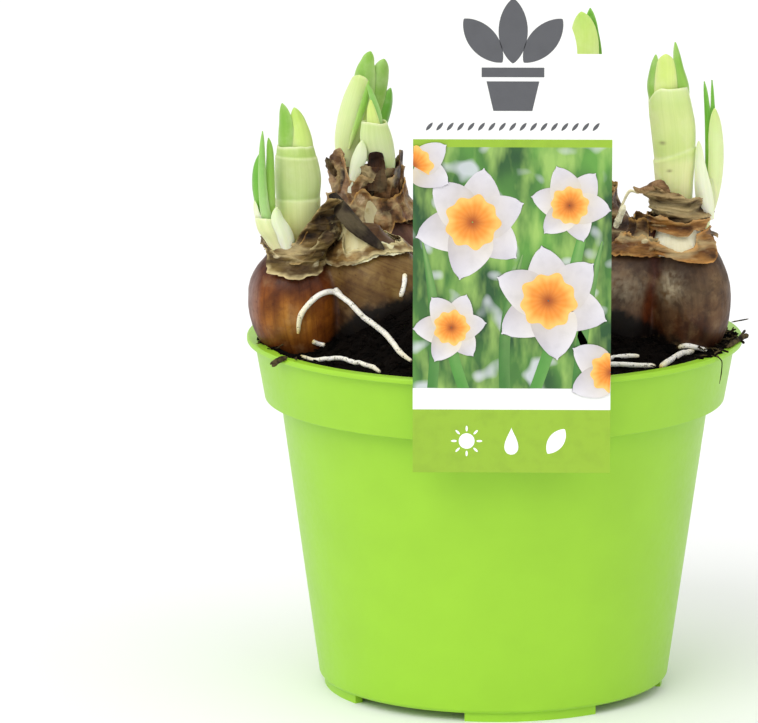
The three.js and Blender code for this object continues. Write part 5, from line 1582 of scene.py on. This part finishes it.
def surface_tree(objects):
    """A tree of faces, in millimetres, that lines of sight are tested against."""
    points = []
    faces = []
    for obj in objects:
        first = len(points)
        points += points_of(obj).tolist()
        faces += [[first + corner for corner in face.vertices] for face in obj.data.polygons]
    return BVHTree.FromPolygons(points, faces)


def laid(ground, start, direction, radius):
    """The point on the outermost surface along a line, lifted so that a root lies on it."""
    spot, normal, _, _ = ground.ray_cast(start, direction)
    return spot + normal * radius * 0.85


def tube(rows, size, toward, sides):
    """Rings of this size along a path, the first corner of each turned away from a direction."""
    along = unit(np.gradient(rows, axis=0))
    side = unit(np.cross(along, toward))
    lift = np.cross(side, along)
    turn = around_axis(sides)[None, :, None]
    return rows[:, None] + size[:, None, None] * (side[:, None] * np.cos(turn) + lift[:, None] * np.sin(turn))


def add_root(shape, ground, points, radius, seed, steps=90, sides=14):
    """A root that is nowhere sunk in the ground under it."""
    rows = smooth_rows(points, steps)
    for i, row in enumerate(rows):
        spot, normal, _, _ = ground.find_nearest(Vector(row))
        if (Vector(row) - spot).dot(normal) < radius * 0.8:
            rows[i] = spot + normal * radius * 0.8
    for _ in range(3):
        rows[1:-1] = (rows[:-2] + 2 * rows[1:-1] + rows[2:]) / 4
    t = np.linspace(0, 1, steps + 1)
    size = radius * (1 + 0.1 * lumps(rows, 3, seed, 2)) * np.minimum(1, 0.35 + 6 * t) ** 0.7
    size *= np.minimum(1, 0.4 + 5 * (1 - t)) ** 0.7
    rings = tube(rows, size, (0.3, 0.2, 1), sides)
    rings += 0.05 * lumps(rings, 1.2, seed, 2)[..., None]
    tone = shaded([(0, "dcc274"), (0.06, "efe6bd"), (0.3, "fbf8ee"), (0.8, "f8f4e6"), (1, "e6dcbc")], t)
    shape.add_rings(rings, (0, 0, seed), tone[:, None])


def sight_line(x, z):
    """The way from the viewpoint to a place on the sighting plane."""
    return Vector((x, SIGHT_PLANE, z)) - VIEWPOINT


def sighted(x, z, depth):
    """The point at this depth on the line of sight that crosses the sighting plane at x and z."""
    share = (depth - VIEWPOINT.y) / (SIGHT_PLANE - VIEWPOINT.y)
    return VIEWPOINT + sight_line(x, z) * share


def add_strand(shape, points, radius, tint, seed, steps=60, sides=8):
    """A fibre that grows thin at both ends."""
    rows = smooth_rows(points, steps)
    t = np.linspace(0, 1, steps + 1)
    size = radius * (1 + 0.25 * lumps(rows, 2.5, seed, 2)) * np.minimum(1, 0.3 + 4 * np.minimum(t, 1 - t))
    shape.add_rings(tube(rows, size, (0.2, 1, 0.3), sides), (0, 0, seed), colour(tint))


def make_roots(ground):
    finish = root_finish()
    down = Vector((0, 0, -1))
    paths = []
    for number, (name, (radius, sights)) in enumerate(SIGHTED_ROOTS.items()):
        points = [laid(ground, VIEWPOINT, sight_line(x, z).normalized(), radius) for x, z in sights]
        paths.append((name, radius, points, 2.0 + number))
    for number, (name, (radius, spots)) in enumerate(BACK_ROOTS.items()):
        points = [laid(ground, Vector((x, y, 220)), down, radius) for x, y in spots]
        paths.append((name, radius, points, 20.0 + number))
    for name, radius, points, seed in paths:
        shape = Shape()
        add_root(shape, ground, points, radius, seed)
        if name == "root_arched":
            stub = [sighted(x, z, points[STUB_AT].y) for x, z in STUB]
            add_strand(shape, stub, 0.95, "f8f4e6", 4.0, steps=20, sides=12)
        place(shape.made(name + "_tube", finish, 80), "root", name)


def add_prism(shape, corners, depth, tint):
    """A flat plate: corners go round its outline, and depth is the way to its other face."""
    front, back = [shape.add_points(np.add(corners, shift), (0, 0, 0), tint) for shift in ((0, 0, 0), depth)]
    shape.faces.append(front.tolist())
    shape.faces.append(back[::-1].tolist())
    shape.add_quads(front, np.roll(front, -1), np.roll(back, -1), back)


def print_face(level):
    """Where a printed layer's face lies: in front of the plate, higher levels further out."""
    return CARD_FRONT + PRINT_BASE - PRINT_STEP * level


def add_inlay(shape, outline, level, code, thick=0.03):
    """A printed shape on the card's face. Outline: x and height; level lifts it over the others."""
    add_prism(shape, [(x, print_face(level), z) for x, z in outline], (0, thick, 0), colour(code))


def box_outline(left, bottom, right, top):
    return [(left, bottom), (right, bottom), (right, top), (left, top)]


def oval_outline(x, z, reach_x, reach_z, turn=0.0, sides=40, point=0.0):
    """An oval, or with point 1 a leaf shape that is sharp at both ends."""
    outline = []
    for angle in around_axis(sides).tolist():
        across = reach_x * math.sin(angle) * abs(math.sin(angle)) ** point
        up = reach_z * math.cos(angle)
        outline.append((x + across * math.cos(turn) + up * math.sin(turn),
                        z - across * math.sin(turn) + up * math.cos(turn)))
    return outline


def drop_outline(x, z, size, sides=40):
    """A drop of water, its point up."""
    return [(x + size * 0.72 * math.sin(angle) * math.sin(angle / 2) ** 1.5, z + size * math.cos(angle))
            for angle in around_axis(sides).tolist()]


def petal_grid(x, z, reach, angle, rows=12, columns=9):
    """A petal's points in the plane of the card, from its foot out to its tip."""
    t = np.linspace(0.05, 1, rows)[:, None]
    s = np.linspace(-1, 1, columns)[None, :]
    half = 0.4 * reach * np.sin(math.pi * t ** 0.75) ** 0.6 * (1 - 0.12 * t)
    half[-1] = 0.02 * reach
    out = t * reach * (1 - 0.03 * s * s)
    across = half * s + 0.05 * reach * np.sin(3 * t + angle)
    along = np.array([math.sin(angle), math.cos(angle)])
    aside = np.array([math.cos(angle), -math.sin(angle)])
    return np.array([x, z]) + out[..., None] * along + across[..., None] * aside, t, s


def add_print(shape, x, z, tint, level, wrap=False):
    """A printed grid of points on the card's face, cut off at the card's sides."""
    front = grid_of(np.clip(x, CARD_LEFT, CARD_RIGHT), print_face(level), z)
    shape.add_sheet(front, front + (0, 0.015, 0), (0, 0, 0), tint, wrap)


def add_flower(shape, x, z, reach, turn, level, petals=range(6), cup=(0, 360), warm=0.0):
    """A flat printed narcissus: six pale petals round an orange cup."""
    for k in petals:
        angle = math.radians(turn + 60 * k)
        spots, t, s = petal_grid(x, z, reach * (1 + 0.05 * math.sin(5 * k + turn)), angle)
        lift = 0.5 + 0.5 * math.cos(angle - 0.6)
        tint = painted(colour("948ea4"), ("dcd9df", 0.2 + 0.75 * t ** 0.6 - 0.3 * s * (1 - lift)),
                       ("f6e39a", (0.5 + warm) * (1 - t) ** 1.6),
                       ("c9c4d0", 0.35 * np.exp(-(s / 0.14) ** 2) * (1 - t)))
        add_print(shape, spots[..., 0], spots[..., 1], tint, level + (k % 2))
    start, sweep = cup
    wrap = sweep >= 360
    turns = np.radians(start + np.linspace(0, sweep, 72, endpoint=not wrap))[None, :]
    t = np.linspace(0.03, 1, 14)[:, None]
    size = 0.46 * reach * t * (1 + 0.07 * t * np.sin(9 * turns + turn) + 0.04 * np.sin(5 * turns))
    ridge = 0.5 + 0.5 * np.sin(18 * turns + 4 * t)
    brim = np.clip(3 * t - 1.9, 0, 1) + 0.35 * ridge * t
    tint = painted(colour("c9640f"), ("f6952c", 1.5 * t), ("fbc264", brim),
                   ("8a3c08", 0.7 * np.exp(-(t / 0.25) ** 2)))
    add_print(shape, x + size * np.sin(turns), z + size * np.cos(turns), tint, level + 3, wrap)


def add_strap(shape, foot, tip, width, lean, level, code):
    """A printed strap leaf from its foot to its tip, bowed to one side."""
    t = np.linspace(0, 1, 20)[:, None]
    s = np.array([[-1.0, 0.0, 1.0]])
    half = 0.5 * width * np.clip(1.15 - t ** 3, 0.06, 1)
    x = foot[0] + (tip[0] - foot[0]) * t + lean * np.sin(math.pi * t) + half * s
    tint = painted(colour(code), ("b9d98a", 0.4 * t * (1 - np.abs(s)) + 0.12 * (s > 0)))
    add_print(shape, x, foot[1] + (tip[1] - foot[1]) * t, tint, level)


def make_card():
    """The label: a glossy plate with a round head, a tongue over the rim, and its printing."""
    body = Shape()
    arc = [(CARD_MIDDLE + CARD_HEAD_RADIUS * math.cos(a), CARD_SHOULDER + CARD_HEAD_RADIUS * math.sin(a))
           for a in np.linspace(0, math.pi, 60)]
    outline = [(CARD_LEFT, CARD_BOTTOM), (CARD_RIGHT, CARD_BOTTOM), (CARD_RIGHT, CARD_SHOULDER), *arc,
               (CARD_LEFT, CARD_SHOULDER)]
    corners = [(x, CARD_FRONT + PLATE_INSET, z) for x, z in outline]
    add_prism(body, corners, (0, CARD_THICKNESS - PLATE_INSET, 0), WHITE)
    back = -RIM_RADIUS - 0.4
    top = POT_HEIGHT + 0.4
    inner = -RIM_INNER_RADIUS + 1.1
    foot = inner + 3.5
    side = [(back, top), (inner - 0.6, top), (inner, top - 0.6), (foot, TONGUE_FOOT),
            (foot + 0.8, TONGUE_FOOT), (inner + 0.8, top - 0.2), (inner + 0.3, top + 0.6),
            (inner - 0.4, top + 0.8), (back, top + 0.8)]
    tongue = [(CARD_MIDDLE - TONGUE_WIDTH / 2, y, z) for y, z in side]
    add_prism(body, tongue, (TONGUE_WIDTH, 0, 0), WHITE)
    place(body.made("card_plate", plastic_finish("card_plastic", "f6f7f4", 0.3), 30), "card", "label_card")
    ink = printed_finish("card_ink")
    make_card_print(ink)
    make_card_border(ink)
    make_card_picture(ink)


def emblem():
    """A plant in a pot: the pot, its rim and three leaves."""
    middle = CARD_MIDDLE
    return [
        [(middle - 5.6, 188), (middle + 5.6, 188), (middle + 7.6, 196.6), (middle - 7.6, 196.6)],
        box_outline(middle - 9, 197.8, middle + 9, 200.6),
        oval_outline(middle, 211.2, 4.2, 9.4, 0, 48, 0.5),
        oval_outline(middle - 8.6, 208.4, 4.0, 8.4, -0.72, 48, 0.6),
        oval_outline(middle + 8.6, 208.4, 4.0, 8.4, 0.72, 48, 0.6),
    ]


def care_signs():
    """A sun with its rays, a drop and a leaf."""
    middle = (CARD_BOTTOM + BAND_TOP) / 2
    sun = CARD_MIDDLE - CARE_SPACING
    signs = [oval_outline(sun, middle, 2.3, 2.3)]
    for angle in around_axis(8).tolist():
        x, z = sun + 3.7 * math.sin(angle), middle + 3.7 * math.cos(angle)
        signs.append(oval_outline(x, z, 0.32, 0.85, angle, 16))
    signs.append(drop_outline(CARD_MIDDLE, middle, 4.0))
    signs.append(oval_outline(CARD_MIDDLE + CARE_SPACING, middle, 2.3, 4.4, 0.6, 40, 0.6))
    return signs


def make_card_print(ink):
    """The stripe under the head, the band at the foot, the emblem and the care signs."""
    flat = Shape()
    for bottom, top in ((PICTURE_TOP, STRIPE_TOP), (CARD_BOTTOM, BAND_TOP)):
        add_inlay(flat, box_outline(CARD_LEFT, bottom, CARD_RIGHT, top), 0, PRINT_GREEN)
    for outlines, code in ((emblem(), PRINT_GREY), (care_signs(), "ffffff")):
        for outline in outlines:
            add_inlay(flat, outline, 1, code)
    place(flat.made("card_print", ink, 30), "card")


def make_card_border(ink):
    """A row of small printed leaves under the head."""
    leaf = Shape()
    add_inlay(leaf, oval_outline(0, 0, 0.5, 1.5, 0.7, 20, 0.5), 1, PRINT_GREY)
    row = leaf.made("card_border", ink, 30)
    tree = Tree("border", Count=17, First=(CARD_MIDDLE - 24) * MM, Pitch=3 * MM, Height=BORDER_HEIGHT * MM,
                Material=ink)
    given = tree.given
    start = tree.add("ShaderNodeCombineXYZ", X=given["First"], Z=given["Height"])
    stride = tree.add("ShaderNodeCombineXYZ", X=given["Pitch"])
    line = tree.add("GeometryNodeMeshLine", Count=given["Count"], Start_Location=start, Offset=stride)
    tree.finished(tree.add("GeometryNodeInstanceOnPoints", Points=line, Instance=given["Geometry"]))
    tree.applied(row)
    place(row, "card")


# Strap leaves of the picture: where each one stands, its tip, its width, its lean and its colour
STRAPS = (
    (-18, (-21, 150), 3.0, 2.0, "3f7d31"), (-9, (-13, 132), 3.4, -1.5, "4c8f37"),
    (3, (8, 146), 3.2, -2.0, "3a742c"), (12, (28, 166), 3.6, 1.5, "4f9139"),
    (24, (31, 150), 3.2, -1.0, "3f7d31"), (30, (22, 128), 2.8, 1.0, "5a9c3f"),
)


def make_card_picture(ink):
    """The printed picture: narcissi and strap leaves before a garden that is out of focus."""
    ground = Shape()
    add_inlay(ground, box_outline(CARD_LEFT, PICTURE_BOTTOM, CARD_RIGHT, PICTURE_TOP), 0, "3c7a34")
    place(ground.made("card_garden", garden_finish(), 30), "card")
    picture = Shape()
    for foot, tip, width, lean, code in STRAPS:
        add_strap(picture, (foot, PICTURE_BOTTOM + 0.1), tip, width, lean, 2, code)
    add_flower(picture, -6.5, 155.5, 16.6, 12, 4)
    add_flower(picture, 21.5, 160.5, 11.6, 40, 9, warm=0.2)
    add_flower(picture, 15.5, 132.5, 17.2, -8, 14)
    add_flower(picture, -12.5, 124.5, 10.8, 25, 19, warm=0.3)
    add_flower(picture, CARD_RIGHT, 111.5, 12.5, 180, 24, petals=(1, 2), cup=(182, 176))
    add_flower(picture, CARD_LEFT, 172.0, 12.0, 0, 24, petals=(1, 2), cup=(2, 118))
    place(picture.made("card_picture", ink, 30), "card")


# Pale old fibres at the necks: radius, colour, and points as x and height on the sighting plane
# with the depth
NECK_FIBRES = [
    (0.45, "e6dfb8", [(33.2, 150, 24), (33.9, 154, 23), (35.6, 157.4, 22), (37.1, 161.5, 22),
                      (38.9, 164.6, 22), (41.4, 163.8, 22.5)]),
    (1.0, "ece6c6", [(32.6, 149, 24), (34.4, 153.4, 21.5), (36.3, 157.6, 20.5), (37.3, 160.6, 21)]),
]
# Dark fibres that hang on the rim
RIM_FIBRES = [(radius, "3a2a1a", points) for radius, points in (
    (0.8, [(67.5, 118.8, -24), (69.9, 120.6, -15), (72, 121.8, -9), (73.5, 122.4, -6)]),
    (0.4, [(70.5, 121.2, -12), (71.7, 122.6, -6), (72.6, 123.9, 0)]),
    (0.4, [(71.4, 120.9, -10), (72.3, 120, -12)]),
    (0.17, [(64.2, 116.5, -36), (65.7, 115, -36), (66, 113.8, -35), (65.8, 110.9, -36), (65.3, 107.9, -36)]),
    (0.2, [(68.5, 126.2, 18), (71.6, 126.8, 20), (73.6, 127.2, 21)]),
    (0.8, [(-64.5, 112.6, -37), (-63.3, 113.8, -39), (-61.9, 114.7, -42), (-60.1, 115.3, -42.5)]),
    (0.5, [(-65.1, 113.2, -36.5), (-63.1, 114.6, -41), (-61, 115.5, -41.5)]),
)]


def make_strands(name, finish, slot, fibres):
    shape = Shape()
    for number, (radius, tint, sights) in enumerate(fibres):
        add_strand(shape, [sighted(*sight) for sight in sights], radius, tint, 3 + 2 * number)
    place(shape.made(name, finish, 80), slot)


# The two soft suns: name, the side each one shines from, its strength and its width in degrees
LIGHTS = (("key", (-0.55, -1.0, 1.1), 0.85, 35), ("fill", (0.9, -0.6, 0.8), 0.25, 60))
FLOOR_REACH = 4000
FLOOR_DEPTH = 10


def make_floor():
    floor = Shape()
    corners = [(*corner, 0) for corner in box_outline(-FLOOR_REACH, -FLOOR_REACH, FLOOR_REACH, FLOOR_REACH)]
    add_prism(floor, corners, (0, 0, -FLOOR_DEPTH), WHITE)
    paper = Finish("floor_paper", Roughness=0.8, Specular_IOR_Level=0.1)
    fibre = paper.noise(paper.place(), 40)
    tone = paper.mix(paper.between(fibre, 0.4, 0.6, 0, 0.01), (0.93, 0.93, 0.93, 1), (0.9, 0.9, 0.9, 1))
    floor.made("floor", paper.done(Base_Color=tone), 30)


def make_lights():
    for name, source, strength, softness in LIGHTS:
        data = bpy.data.lights.new(name, "SUN")
        data.energy = strength
        data.angle = math.radians(softness)
        light = linked(bpy.data.objects.new(name, data))
        light.location = source
        light.rotation_euler = (-Vector(source)).to_track_quat("-Z", "Y").to_euler()


def make_surroundings():
    """White paper behind the pot, and a wide soft light over its left shoulder."""
    world = bpy.data.worlds.new("studio")
    world.use_nodes = True
    made = Nodes(world.node_tree)
    direction = made.add("ShaderNodeTexCoord", "Generated")
    shoulder = Vector((-0.5, -0.55, 0.7)).normalized()
    toward = made.vector_math("DOT_PRODUCT", [(0, direction), (1, shoulder)], "Value")
    lit = made.between(toward, -0.6, 1, 0.5, 1.15)
    behind = made.between(made.wire("ShaderNodeSeparateXYZ", {}, [(0, direction)], "Y"), 0.72, 0.9)
    strength = made.wire("ShaderNodeMix", {}, [(0, behind), (2, lit), (3, 1.0)])
    background = world.node_tree.nodes["Background"].inputs
    made.connect(background["Strength"], strength)
    made.connect(background["Color"], (1, 1, 1, 1))
    bpy.context.scene.world = world


make_camera()
make_pot()
compost = soil_finish()
soil = make_soil(compost)
strew(soil, COMPOST_BITS, [compost] * len(COMPOST_BITS))
make_rim_soil(compost)
bulbs = make_bulbs()
tunics = make_tunics()
make_shoots()
make_roots(surface_tree([soil, *bulbs, *tunics]))
make_strands("neck_fibres", root_finish(), "root", NECK_FIBRES)
make_strands("rim_threads", fibre_finish(), "soil", RIM_FIBRES)
make_card()
make_floor()
make_surroundings()
make_lights()
bpy.context.scene.view_settings.view_transform = "Standard"
